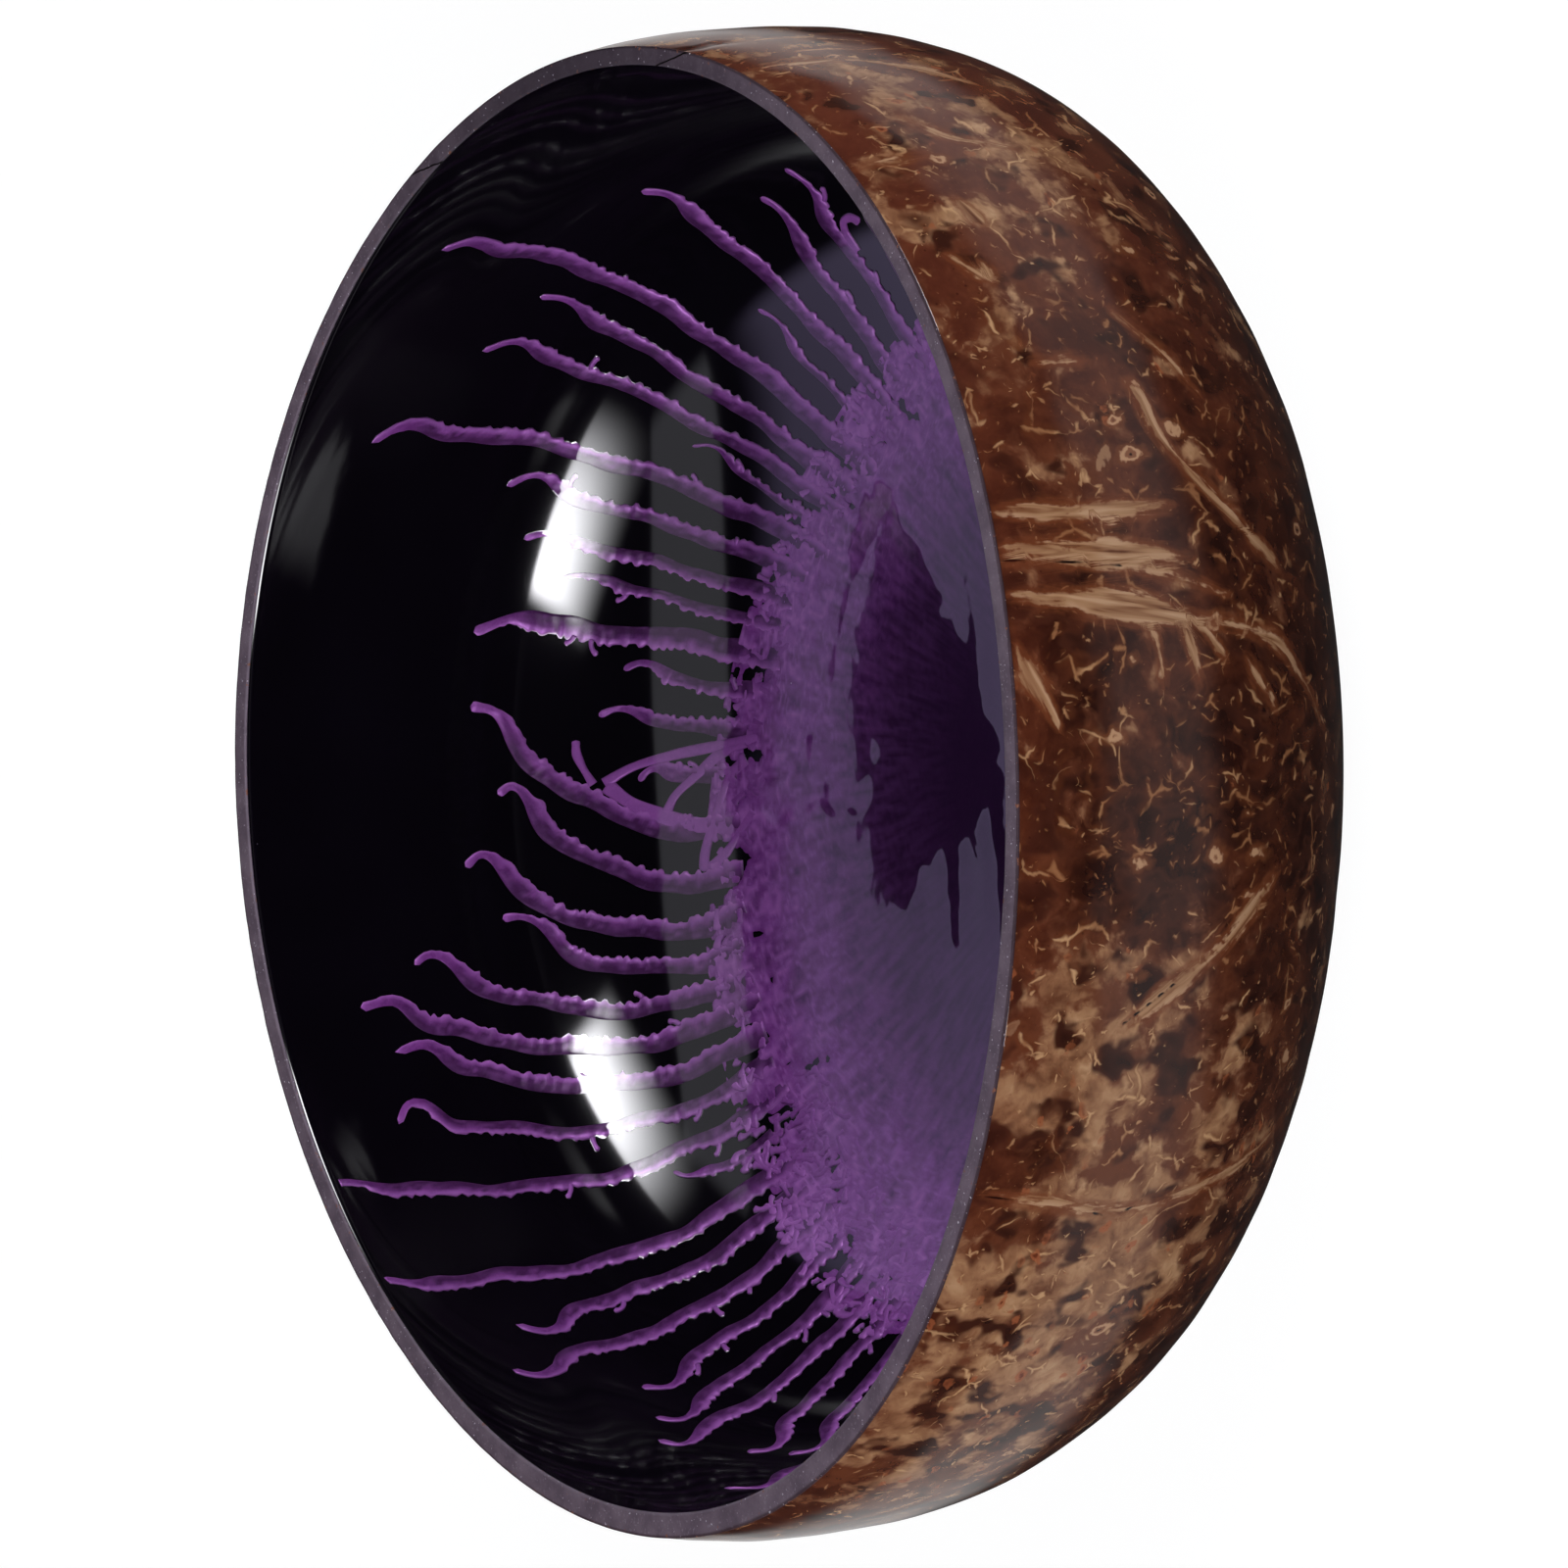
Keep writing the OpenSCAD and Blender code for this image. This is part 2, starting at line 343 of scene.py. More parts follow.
# The floor's swell: a crooked fold that crosses it from -X to +X, as places along X with
# the fold's place along Y and the slope of its near side there
fold_east = [-60, -35, -21, -16, -12, -8, -2.5, 0, 8, 16, 25, 35, 60]
fold_north = [30, 30, 29, 28, 25, 20, 10.5, 10, 13.5, 17, 20.5, 25, 25]
fold_falls = [0, 0.02, 0.034, 0.042, 0.05, 0.06, 0.065, 0.065, 0.06, 0.05, 0.042, 0.02, 0]
fold_climb = 0.016
fold_blend = 0.035
swell_reach, swell_fade = 46, 12
low_line, near_line = 4, -28


def lesser(first, second):
    """The lesser of two heights, with the change-over rounded by the fold's blend."""
    return -fold_blend * np.logaddexp(-first / fold_blend, -second / fold_blend)


def floor_swell(east, north):
    """Rise of the floor over the nut's own curve, in mm. It climbs evenly from the far side
    to the fold, falls to the low line, and from there falls evenly to the near line."""
    drift = east + 0.5 * np.sin(0.8 * north + 1) + 0.3 * np.sin(1.9 * north)
    ridge = np.interp(drift, fold_east, fold_north) + 0.5 * np.sin(0.83 * east + 2)
    ridge += 0.3 * np.sin(1.37 * east + 0.5) + 0.12 * np.sin(2.6 * east)
    fall = np.interp(east, fold_east, fold_falls)
    far_rise = fold_climb * np.logaddexp(0, swell_reach - north)
    peak = fold_climb * (swell_reach - ridge)
    near_fall = peak + fall * (north - ridge)
    low = peak + fall * (low_line - ridge)
    near_rise = low * np.maximum(north - near_line, 0) / (low_line - near_line)
    rise = -lesser(-lesser(far_rise, near_fall), -near_rise)
    return rise * np.clip((swell_reach - np.hypot(east, north)) / swell_fade, 0, 1)


def wall_depth(turn, angle):
    """Thickness of the shell: the wall's, thinner to +X, growing to the floor's."""
    sine = np.sin(np.radians(turn))
    floor_part = np.where(sine < 0, sine**2, 0.0)
    drift = wall_drift_share * np.cos(np.radians(angle)) * (1 - floor_part)
    depth = wall * (1 - drift) + (floor_thickness + nut_end - wall) * floor_part
    place = nut_point(turn, angle, depth)
    return depth + floor_swell(place[..., 0], place[..., 1]) * (sine < 0)


def ripple(points, size, count, seed):
    """Smooth random field of about unit height: many plane waves of one wavelength."""
    dice = np.random.default_rng(seed)
    ways = unit(dice.normal(size=(count, 3)))
    ways *= 2 * np.pi / size * dice.uniform(0.75, 1.3, (count, 1))
    starts = dice.uniform(0, 2 * np.pi, count)
    total = np.zeros(points.shape[:-1])
    for way, start in zip(ways, starts):
        total += np.cos(points @ way + start)
    return total * math.sqrt(2 / count)


def rise_by_length(low, high, count):
    """Outline angles from low to high that lie at even distances along the outline."""
    fine = np.linspace(low, high, 2000)
    radius, height = outline(fine)
    lengths = np.r_[0, np.cumsum(np.hypot(np.diff(radius), np.diff(height)))]
    return np.interp(np.linspace(0, lengths[-1], count), lengths, fine)


def round_angles(count):
    """Even angles round the bowl, in degrees."""
    return np.arange(count) * 360.0 / count


def grid(rows, columns):
    """Two arrays that pair every row's number with every column's."""
    return np.meshgrid(rows, columns, indexing="ij")


def bell(value, middle, reach):
    """Bell of height 1 about the middle."""
    return np.exp(-(((value - middle) / reach) ** 2))


def angle_apart(angle, middle):
    """How far an angle is past another, from -180 to 180 degrees."""
    return (angle - middle + 180) % 360 - 180


def mesh_piece(name, points, faces):
    """Smooth piece of points in mm and faces."""
    mesh = bpy.data.meshes.new(name)
    mesh.from_pydata((points * mm).tolist(), [], faces)
    mesh.polygons.foreach_set("use_smooth", np.ones(len(faces), dtype=bool))
    return shown(name, mesh)


def ring_skin(name, rings, poles=None):
    """Closed skin over rings of points, shape (rings, around, 3), in mm. Neighbouring rings
    are joined by four-sided faces. Each end closes in a pole, or else the last ring
    joins the first."""
    rows, around = rings.shape[:2]
    points = rings.reshape(-1, 3)
    here = np.arange(rows if poles is None else rows - 1)[:, None] * around + np.arange(around)
    beside = np.roll(here, -1, axis=1)
    above, above_beside = (here + around) % (rows * around), (beside + around) % (rows * around)
    faces = np.stack([here, beside, above_beside, above], -1).reshape(-1, 4).tolist()
    if poles is not None:
        points = np.concatenate([points, np.array(poles)])
        low, high = np.arange(around), (rows - 1) * around + np.arange(around)
        first, last = np.full(around, rows * around), np.full(around, rows * around + 1)
        faces += np.stack([first, np.roll(low, -1), low], -1).tolist()
        faces += np.stack([last, high, np.roll(high, -1)], -1).tolist()
    piece = mesh_piece(name, points, faces)
    piece.data.validate()
    return piece


def vertex_values(piece, name, values, at_poles=0.0):
    """Give each point of a piece a number that its material can read by name."""
    count = len(piece.data.vertices)
    values = np.concatenate([np.ravel(values), np.full(count, at_poles)])[:count]
    made = piece.data.attributes.new(name, "FLOAT", "POINT")
    made.data.foreach_set("value", values.astype(np.float32))


# Fibre bundles on the outside: each is a line of points (angle from +X, share of the way
# up the wall), then the half width in mm. Most run from the rim towards the base.
bundles = [
    ([(290, 0.998), (289.3, 0.93), (289, 0.88), (289, 0.787)], 1.0),
    ([(289, 0.891), (288, 0.859)], 0.45),
    ([(287, 0.995), (286.4, 0.93), (286, 0.882), (285, 0.775)], 1.25),
    ([(286.2, 0.998), (285.4, 0.92), (284.6, 0.83), (282, 0.727)], 0.5),
    ([(283.4, 0.995), (282.6, 0.93), (282, 0.891), (280.8, 0.81), (280, 0.746)], 1.45),
    ([(280.4, 0.79), (279.4, 0.70), (278.4, 0.65), (275, 0.61), (271.5, 0.56)], 0.55),
    ([(281.4, 0.80), (279.6, 0.77), (277.2, 0.74)], 0.5),
    ([(281.2, 0.84), (278.5, 0.83), (275.6, 0.825)], 0.35),
    ([(299, 0.803), (297.8, 0.792), (294, 0.785), (290, 0.733), (286.5, 0.675)], 0.75),
    ([(287.0, 0.69), (285.6, 0.66), (284.4, 0.64)], 0.8),
    ([(337, 0.985), (336, 0.88), (333, 0.805), (329, 0.752)], 0.75),
    ([(339, 0.92), (338, 0.807)], 0.45),
    ([(344, 0.96), (343, 0.88), (340, 0.80)], 0.4),
    ([(321, 0.995), (321, 0.908)], 0.5),
    ([(279.4, 0.995), (277.6, 0.985), (276, 0.974), (273, 0.955)], 1.0),
    ([(281, 0.797), (278, 0.785), (275, 0.778)], 0.5),
    ([(277, 0.711), (275, 0.69), (273, 0.669)], 0.55),
    ([(249, 0.865), (252, 0.799), (255, 0.738), (260, 0.669)], 1.0),
    ([(235.5, 0.99), (235, 0.909), (233, 0.817), (234, 0.74), (234.4, 0.669), (236.5, 0.56)], 0.6),
    ([(311, 0.956), (308, 0.918)], 0.5),
    ([(301, 0.909), (301, 0.846)], 0.4),
    ([(316, 0.91), (313, 0.896)], 0.9),
    ([(310, 0.92), (308, 0.918)], 0.9),
    ([(326, 0.90), (323, 0.87), (321, 0.80)], 0.5),
    ([(305, 0.79), (301, 0.74), (298, 0.71)], 0.3),
]
cracks = [
    ([(249.2, 0.865), (250.6, 0.835), (252.2, 0.80)], 0.16),
    ([(233.4, 0.85), (232.9, 0.83), (233.2, 0.805), (233.9, 0.79)], 0.12),
    ([(235.4, 0.985), (235, 0.945)], 0.06),
    ([(286.2, 0.998), (285.4, 0.92), (284.8, 0.86)], 0.06),
    ([(345.6, 1.0), (344.6, 0.985), (344.8, 0.96), (343.6, 0.94)], 0.12),
]
far_bundle_count = 46
dice = np.random.default_rng(11)
for _ in range(far_bundle_count):
    start = dice.uniform(0, 225) - 8
    share = dice.uniform(0.35, 0.97)
    sway, run_down = dice.uniform(-9, 9), dice.uniform(0.04, 0.2)
    bend = dice.uniform(-3, 3)
    line = [(start + sway * s + bend * s * s, share - run_down * s) for s in (0, 0.33, 0.66, 1)]
    bundles.append((line, dice.uniform(0.25, 0.9)))

# Mottled regions: middle (angle, share), reach in mm round and up, and how pale
outline_length = 85.0
pale_regions = [
    (246, 0.95, 9, 7, 0.15), (243, 0.88, 10, 8, 0.12), (222, 0.93, 16, 9, 0.18),
    (206, 0.93, 20, 14, 0.08), (230, 0.82, 12, 9, 0.12), (222, 0.84, 12, 9, 0.13),
    (252, 0.89, 7, 8, 0.10), (247, 0.73, 9, 8, 0.06), (237, 0.74, 9, 9, 0.08),
    (256, 0.82, 4, 5, 0.06), (262, 0.96, 6, 3, 0.06), (273, 0.86, 3, 4, 0.12),
    (314, 0.935, 3.5, 7, 0.17), (309, 0.90, 3, 7, 0.15), (326, 0.89, 7, 5, 0.12),
    (335, 0.90, 9, 6, 0.06), (342, 0.94, 8, 5, 0.08), (320, 0.80, 30, 30, 0.05),
    (228, 0.80, 28, 24, 0.13), (324, 0.82, 7, 5, 0.10), (318, 0.76, 7, 5, 0.10),
    (303, 0.93, 4, 4, 0.08), (312, 0.72, 6, 8, 0.05), (352, 0.9, 8, 10, 0.08),
    (239, 0.92, 4, 5, -0.22), (237, 0.845, 4, 5, -0.14), (232, 0.905, 4, 4, -0.20),
    (237, 0.985, 4, 3, -0.2), (262, 0.90, 7, 9, -0.14), (264, 0.80, 10, 9, -0.12),
    (280, 0.93, 6, 8, -0.08), (276, 0.89, 5, 6, -0.10), (243, 0.815, 3, 4, -0.12),
    (214, 0.876, 5, 5, -0.12), (218, 0.60, 20, 14, -0.08), (298, 0.74, 8, 8, -0.06),
    (265, 0.65, 26, 12, -0.08), (300, 0.6, 26, 12, -0.08), (150, 0.8, 22, 18, 0.12),
    (110, 0.9, 16, 12, 0.10), (60, 0.75, 20, 14, 0.12), (20, 0.92, 20, 10, 0.12),
    (90, 0.55, 22, 12, 0.10), (130, 0.55, 12, 12, -0.10), (80, 0.9, 9, 9, -0.12),
    (40, 0.6, 14, 10, -0.1),
]
red_region = (338, 0.88, 42, 30)

shell_around = 560
outer_rows = 140
inner_rows = 22
shell_angles = round_angles(shell_around)
row_turns = rise_by_length(foot_level, top_level, outer_rows - 1)
row_turns = np.r_[row_turns[:-1], top_level - 0.06, top_level]
row_shares = np.r_[np.linspace(0, 1, outer_rows - 1)[:-1], 0.9995, 1.0]
out_turn, out_angle = grid(row_turns, shell_angles)
out_share = grid(row_shares, shell_angles)[0]
outside = nut_point(out_turn, out_angle, skin)
lumps = 0.05 * ripple(outside, 22, 40, 1) + 0.02 * ripple(outside, 6, 40, 2)


def smooth_line(line, count, passes):
    """Angles and shares of points along a line through a few (angle, share), its corners
    eased by drawing each point towards its neighbours in a number of passes."""
    spots = np.array(line, dtype=float)
    place = np.linspace(0, len(spots) - 1, count)
    made = np.stack([np.interp(place, np.arange(len(spots)), column) for column in spots.T])
    for _ in range(passes):
        made[:, 1:-1] = (made[:, :-2] + 2 * made[:, 1:-1] + made[:, 2:]) / 4
    return made


def near_lines(points, lines):
    """For each point: how far inside the nearest line's edge it lies (mm, minus outside),
    its place along that line (mm) and its signed distance from the line's middle (mm)."""
    inside = np.full(points.shape[:-1], -9.0)
    along = np.zeros_like(inside)
    across = np.full_like(inside, 3.0)
    out = unit(points - np.array([0.0, 0.0, 35.0]))
    for number, (line, half) in enumerate(lines):
        angle, share = smooth_line(line, 16, 3)
        path = nut_point(np.interp(share, row_shares, row_turns), angle, skin)
        middle = path.mean(0)
        reach = np.linalg.norm(path - middle, axis=1).max() + 5
        near = np.linalg.norm(points - middle, axis=-1) < reach
        spot, spot_out = points[near], out[near]
        best = np.full(len(spot), 1e9)
        where, side = np.zeros(len(spot)), np.zeros(len(spot))
        for k in range(len(path) - 1):
            leg = path[k + 1] - path[k]
            share = np.clip((spot - path[k]) @ leg / (leg @ leg), 0, 1)
            gap = spot - path[k] - share[:, None] * leg
            distance = np.linalg.norm(gap, axis=1)
            nearer = distance < best
            best = np.where(nearer, distance, best)
            where = np.where(nearer, (k + share) / (len(path) - 1), where)
            turn = np.sign(np.einsum("ij,ij->i", np.cross(leg, gap), spot_out))
            side = np.where(nearer, turn, side)
        taper = (1 - np.abs(2 * where - 1) ** 3) * (0.75 + 0.25 * np.sin(number * 7 + 9 * where))
        edge = half * taper - best
        better = edge > inside[near]
        length = np.linalg.norm(np.diff(path, axis=0), axis=1).sum()
        inside[near] = np.where(better, edge, inside[near])
        along[near] = np.where(better, where * length + 31 * number, along[near])
        across[near] = np.where(better, np.clip(best, 0, 3) * side, across[near])
    return inside, along, across


def in_region(angle, share, reach_round, reach_up):
    """1 at the middle of a region of the outside, falling off as a bell."""
    round_share = np.radians(angle_apart(out_angle, angle)) * shell_radius / reach_round
    up_share = (out_share - share) * outline_length / reach_up
    return np.exp(-(round_share**2) - up_share**2)


bundle_edge, bundle_along, bundle_across = near_lines(outside, bundles)
crack_edge, _, crack_across = near_lines(outside, cracks)
relief = 0.05 * np.clip(bundle_edge / 0.5, 0, 1) + 0.16 * np.clip(1 + crack_edge / 0.35, 0, 1)
outside = nut_point(out_turn, out_angle, skin + np.maximum(0, lumps + 0.06) + relief)
paleness = sum(weight * in_region(*region) for *region, weight in pale_regions)

foot_shares = np.array([0.25, 0.5, 0.75, 0.96, 0.995])[:, None, None]
foot_edge = nut_point(np.full(shell_around, foot_level), shell_angles, skin)
foot_edge[:, 2] = 0.0
foot_middle = foot_edge.mean(0)
foot = foot_middle + foot_shares * (foot_edge - foot_middle)
foot[-1, :, 2] = 0.03
in_turn, in_angle = grid(rise_by_length(end_level, top_level, inner_rows)[:0:-1], shell_angles)
inner = nut_point(in_turn, in_angle, wall_depth(in_turn, in_angle))
nut_pole = np.array(end_level), np.array(0.0)
inner_pole = nut_point(*nut_pole, wall_depth(*nut_pole))
shell = ring_skin("shell", np.concatenate([foot, outside, inner]), [foot_middle, inner_pole])
for name, values in {
    "bundle_edge": bundle_edge, "bundle_along": bundle_along, "bundle_across": bundle_across,
    "crack_edge": crack_edge, "crack_across": crack_across, "paleness": paleness,
    "height_share": out_share, "redness": in_region(*red_region),
}.items():
    vertex_values(shell, name, np.concatenate([np.zeros((len(foot), shell_around)), values]))
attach(shell, "root")
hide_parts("shell")


def material(piece, name):
    """New node material of a piece: its Principled shader, and object points in mm."""
    made = bpy.data.materials.new(name)
    made.use_nodes = True
    tree = made.node_tree
    tree.nodes.clear()
    shader = put(tree, "BsdfPrincipled")
    put(tree, "OutputMaterial", {"Surface": Field(shader.outputs[0])})
    piece.data.materials.append(made)
    return shader, vector("SCALE", field(tree, "TexCoord", output="Object"), 1000.0)


def cloud(place, size, detail=2.0, rough=0.5, warp=0.0, output=0):
    """Noise about 0.5 with blobs of a size in mm."""
    feeds = {"Vector": place, "Scale": 1 / size, "Detail": detail, "Roughness": rough, "Distortion": warp}
    return field(place.tree, "TexNoise", feeds, output)


def pushed(place, noise, reach):
    """A place or a direction pushed by a coloured noise, by up to about the reach."""
    push = vector("SUBTRACT", noise, (0.5, 0.5, 0.5))
    return vector("ADD", place, vector("SCALE", push, reach))


def shifted(place, size, reach):
    """Points pushed about by noise of a size, by up to about the reach, both in mm."""
    return pushed(place, cloud(place, size, output="Color"), 2.0 * reach)


def moved(place, offset, scale=(1.0, 1.0, 1.0)):
    """Points stretched and moved."""
    return field(place.tree, "Mapping", {"Vector": place, "Location": offset, "Scale": scale})


def value_of(tree, name):
    """A piece's vertex values by name."""
    return field(tree, "Attribute", output="Fac", attribute_name=name)


def ramp(value, stops):
    """Colour along a row of stops, each a value and a screen colour."""
    node = put(value.tree, "ValToRGB", {0: value})
    bar = node.color_ramp
    while len(bar.elements) < len(stops):
        bar.elements.new(0.5)
    for element, (place, colour) in zip(bar.elements, stops):
        element.position = place
        element.color = rgb(*colour)
    return Field(node.outputs[0])


def strokes(place, size, width, gaps, seed):
    """Short tapering strokes with forks: the borders of random cells, broken where a noise
    is low. Gives the strokes and a wider soft halo round them."""
    own = moved(place, (seed, 2 * seed, -seed))
    feeds = {"Vector": own, "Scale": 1 / size, "Randomness": 1.0}
    line = field(place.tree, "TexVoronoi", feeds, "Distance", feature="DISTANCE_TO_EDGE")
    there = cloud(moved(place, (-seed, seed, seed)), 0.5 * size, 1.0, 0.5)
    there = step(there, gaps, gaps + 0.14)
    return step(line, there * width, 0.0) * there, step(line, 4.0 * width, 0.0) * there


def spots(place, size, kept, seed, ragged):
    """Random round spots: a function that gives the mask of a disc about each, fading out
    between two radii in cells. A share of the spots is kept, and noise frays them."""
    feeds = {"Vector": moved(place, (seed, -seed, 2 * seed)), "Scale": 1 / size, "Randomness": 1.0}
    cell = put(place.tree, "TexVoronoi", feeds)
    feeds = {"Color": Field(cell.outputs["Color"])}
    chosen = field(place.tree, "SeparateColor", feeds, "Red")
    spread = Field(cell.outputs["Distance"]) + ragged * (0.55 / size)
    kept = step(chosen, kept + 0.02, kept)
    return lambda outer, inner: step(spread, outer, inner) * kept


# Colours of the shell as rows of stops, then by name
brown_stops = [(0.32, (36, 13, 8)), (0.45, (54, 24, 14)), (0.56, (74, 36, 22)), (0.70, (96, 53, 33))]
tan_stops = [
    (0.30, (94, 57, 38)), (0.45, (132, 92, 64)), (0.60, (160, 120, 87)), (0.75, (182, 144, 108)),
]
dark_stops = [(0.51, (74, 38, 25)), (0.59, (56, 27, 18)), (0.72, (36, 15, 10))]
fibre_stops = [
    (0.26, (84, 44, 26)), (0.36, (124, 84, 56)), (0.50, (156, 118, 86)), (0.68, (178, 142, 110)),
]
red_brown, tan_edge, halo_brown = rgb(97, 49, 36), rgb(96, 54, 36), rgb(96, 50, 28)
dull_stroke, bright_stroke = rgb(140, 95, 62), rgb(184, 144, 104)
ring_halo, ring_tan, ring_heart, ring_slit = (
    rgb(104, 58, 34), rgb(178, 138, 104), rgb(112, 66, 44), rgb(36, 12, 8)
)
pit_edge, pit_heart, pore_dark = rgb(146, 82, 50), rgb(86, 36, 20), rgb(40, 16, 11)
bundle_halo, crack_dark = rgb(108, 58, 34), rgb(26, 10, 7)
fleck_pale, rim_red = rgb(190, 170, 152), rgb(84, 32, 16)
# Strokes: cell size in mm, width in cells, noise under which they stop, seed and strength
stroke_layers = [
    (7.5, 0.028, 0.54, 9.0, 0.85), (4.2, 0.054, 0.53, 17.0, 1.0),
    (2.3, 0.062, 0.59, 41.0, 0.9), (1.2, 0.085, 0.64, 73.0, 0.7),
]

shader, place = material(shell, "polished_coconut_shell")
tree = place.tree
wide = shifted(place, 9.0, 2.2)
fine = shifted(shifted(wide, 2.6, 0.8), 0.9, 0.22)
ragged = cloud(place, 0.7, 2.0) - 0.5
pale_part, red_part = value_of(tree, "paleness"), value_of(tree, "redness")
height_share = value_of(tree, "height_share")

# Brown ground, tan clouds and dark blots
brown = ramp(cloud(wide, 5.0, 5.0, 0.6) + 0.7 * pale_part, brown_stops)
tan = ramp(cloud(fine, 3.0, 4.0, 0.55), tan_stops)
pale = cloud(shifted(place, 4.0, 1.6), 4.6, 4.0, 0.54) + 0.62 * pale_part - 0.035 * red_part
colour = mix(0.6 * red_part, brown, red_brown)
colour = mix(0.8 * step(pale, 0.49, 0.60), colour, tan_edge)
colour = mix(step(pale, 0.56, 0.67), colour, tan)
deep = cloud(moved(shifted(place, 5.0, 1.5), (31, 7, 19), (1.0, 1.0, 0.8)), 3.6, 2.0, 0.5)
deep = deep - 0.10 * pale_part - 0.07 * red_part
colour = mix(step(deep, 0.485, 0.60), colour, ramp(deep, dark_stops))

# Fibre ends: forked strokes, rings with a slit, pits in the tan, and pores near the rim
stroke_light = mix(step(pale, 0.40, 0.62), dull_stroke, bright_stroke)
for size, width, gaps, seed, strength in stroke_layers:
    mark, glow = strokes(fine, size, width, gaps, seed)
    colour = mix(0.45 * glow, colour, halo_brown)
    colour = mix(strength * mark, colour, stroke_light)
disc = spots(moved(fine, (5, 9, 2), (1.0, 1.0, 0.6)), 3.4, 0.13, 0.0, ragged)
colour = mix(0.8 * disc(0.36, 0.18), colour, ring_halo)
colour = mix(0.9 * disc(0.21, 0.16), colour, ring_tan)
colour = mix(0.9 * disc(0.13, 0.09), colour, ring_heart)
slit = disc(0.055, 0.02)
colour = mix(slit, colour, ring_slit)
in_tan = step(pale, 0.54, 0.60) * step(cloud(place, 8.0, 2.0), 0.46, 0.56)
disc = spots(moved(fine, (2, 4, 8), (1.0, 1.0, 1.5)), 2.6, 0.62, 7.0, 1.8 * ragged)
colour = mix(0.8 * disc(0.30, 0.22) * in_tan, colour, pit_edge)
colour = mix(0.9 * disc(0.16, 0.05) * in_tan, colour, pit_heart)
porous = step(cloud(moved(place, (9, 1, 6)), 5.0, 2.0), 0.50, 0.60) * step(height_share, 0.88, 0.95)
disc = spots(place, 0.75, 0.35, 3.0, 0.3 * ragged)
colour = mix(0.6 * disc(0.20, 0.10) * porous, colour, pore_dark)


def along_grain(tree, pull, spread):
    """Places for a noise that is drawn out along the fibre bundles."""
    along, across = value_of(tree, "bundle_along"), value_of(tree, "bundle_across")
    return field(tree, "CombineXYZ", {0: pull * along, 1: spread * across})


# Fibre bundles with frayed edges, cracks, pale flecks and the warmer cut edge
fray = cloud(along_grain(tree, 0.30, 1.3), 1.0, 3.0, 0.55, 0.4) - 0.5
edge = value_of(tree, "bundle_edge") + 1.9 * fray + 0.5 * ragged
colour = mix(0.8 * step(edge, -0.9, 0.1), colour, bundle_halo)
fibre = ramp(cloud(along_grain(tree, 0.14, 1.5), 1.0, 2.0, 0.5, 0.6), fibre_stops)
colour = mix(0.95 * step(edge, -0.12, 0.22), colour, fibre)
split = step(abs(value_of(tree, "crack_across")), 0.16, 0.07)
split = split * step(value_of(tree, "crack_edge"), -0.3, -0.05)
colour = mix(split, colour, crack_dark)
disc = spots(place, 3.2, 0.08, 0.0, ragged)
colour = mix(0.7 * disc(0.04, 0.02), colour, fleck_pale)
colour = mix(0.22 * step(height_share, 0.93, 1.0), colour, rim_red)
lift = 0.5 * pale + 0.1 * ragged - 0.6 * slit - 1.2 * split
feed(shader, {
    "Base Color": colour,
    "Roughness": 0.36 + 0.16 * cloud(place, 1.5, 3.0),
    "Normal": field(tree, "Bump", {"Height": lift, "Strength": 0.3, "Distance": 0.0001}),
    "Specular IOR Level": 0.0,
    "Coat Weight": 1.0,
    "Coat Roughness": 0.12,
    "Coat IOR": 1.38,
})

# The black lining: gloss lacquer brushed over the whole inside up to the rim. It has
# levelled into a skin with faint waves, a few hairs' breadth thick.
lining = 0.3
lining_around = 360
lining_rows = 130
lining_angles = round_angles(lining_around)


def wall_point(turn, angle, height):
    """Point at a height in mm over the lining's face, on its faint waves."""
    depth = wall_depth(turn, angle) + lining
    waves = 0.005 * ripple(nut_point(turn, angle, depth), 18, 30, 5)
    calm = np.clip((top_level - turn) / 40, 0, 1)
    return nut_point(turn, angle, depth + (waves - 0.03) * calm + height)


face_turns = rise_by_length(end_level, top_level, lining_rows + 1)[1:]
back_turn, back_angle = grid(face_turns[4::5], lining_angles)
back = nut_point(back_turn, back_angle, wall_depth(back_turn, back_angle) + 0.02)
face = wall_point(*grid(face_turns[::-1], lining_angles), 0.0)
back_pole = nut_point(*nut_pole, wall_depth(*nut_pole) + 0.02)
poles = [back_pole, wall_point(*nut_pole, 0.0)]
black = ring_skin("black_lining", np.concatenate([back, face]), poles)
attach(black, "root")
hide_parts("black_lining")


def node_group(name, inputs, outputs):
    """New node group with named sockets of given kinds, and the fields that it is given."""
    group = bpy.data.node_groups.new(name, "ShaderNodeTree")
    for way, sockets in (("INPUT", inputs), ("OUTPUT", outputs)):
        for socket, kind in sockets.items():
            group.interface.new_socket(socket, in_out=way, socket_type="NodeSocket" + kind)
    given = group.nodes.new("NodeGroupInput")
    return group, {socket: Field(given.outputs[socket]) for socket in inputs}


gloss_wear, given = node_group("gloss_wear", {"Place": "Vector"}, {"Dust": "Float", "Haze": "Float"})
dust = spots(given["Place"], 3.1, 0.1, 0.0, 0.0)(0.03, 0.015)
haze = step(cloud(given["Place"], 9.0, 3.0, 0.55), 0.35, 0.75)
feed(gloss_wear.nodes.new("NodeGroupOutput"), {"Dust": dust, "Haze": haze})


def worn(place):
    """Dust and haze masks of the clear gloss."""
    node = put(place.tree, "Group", {"Place": place}, node_tree=gloss_wear)
    return Field(node.outputs["Dust"]), Field(node.outputs["Haze"])


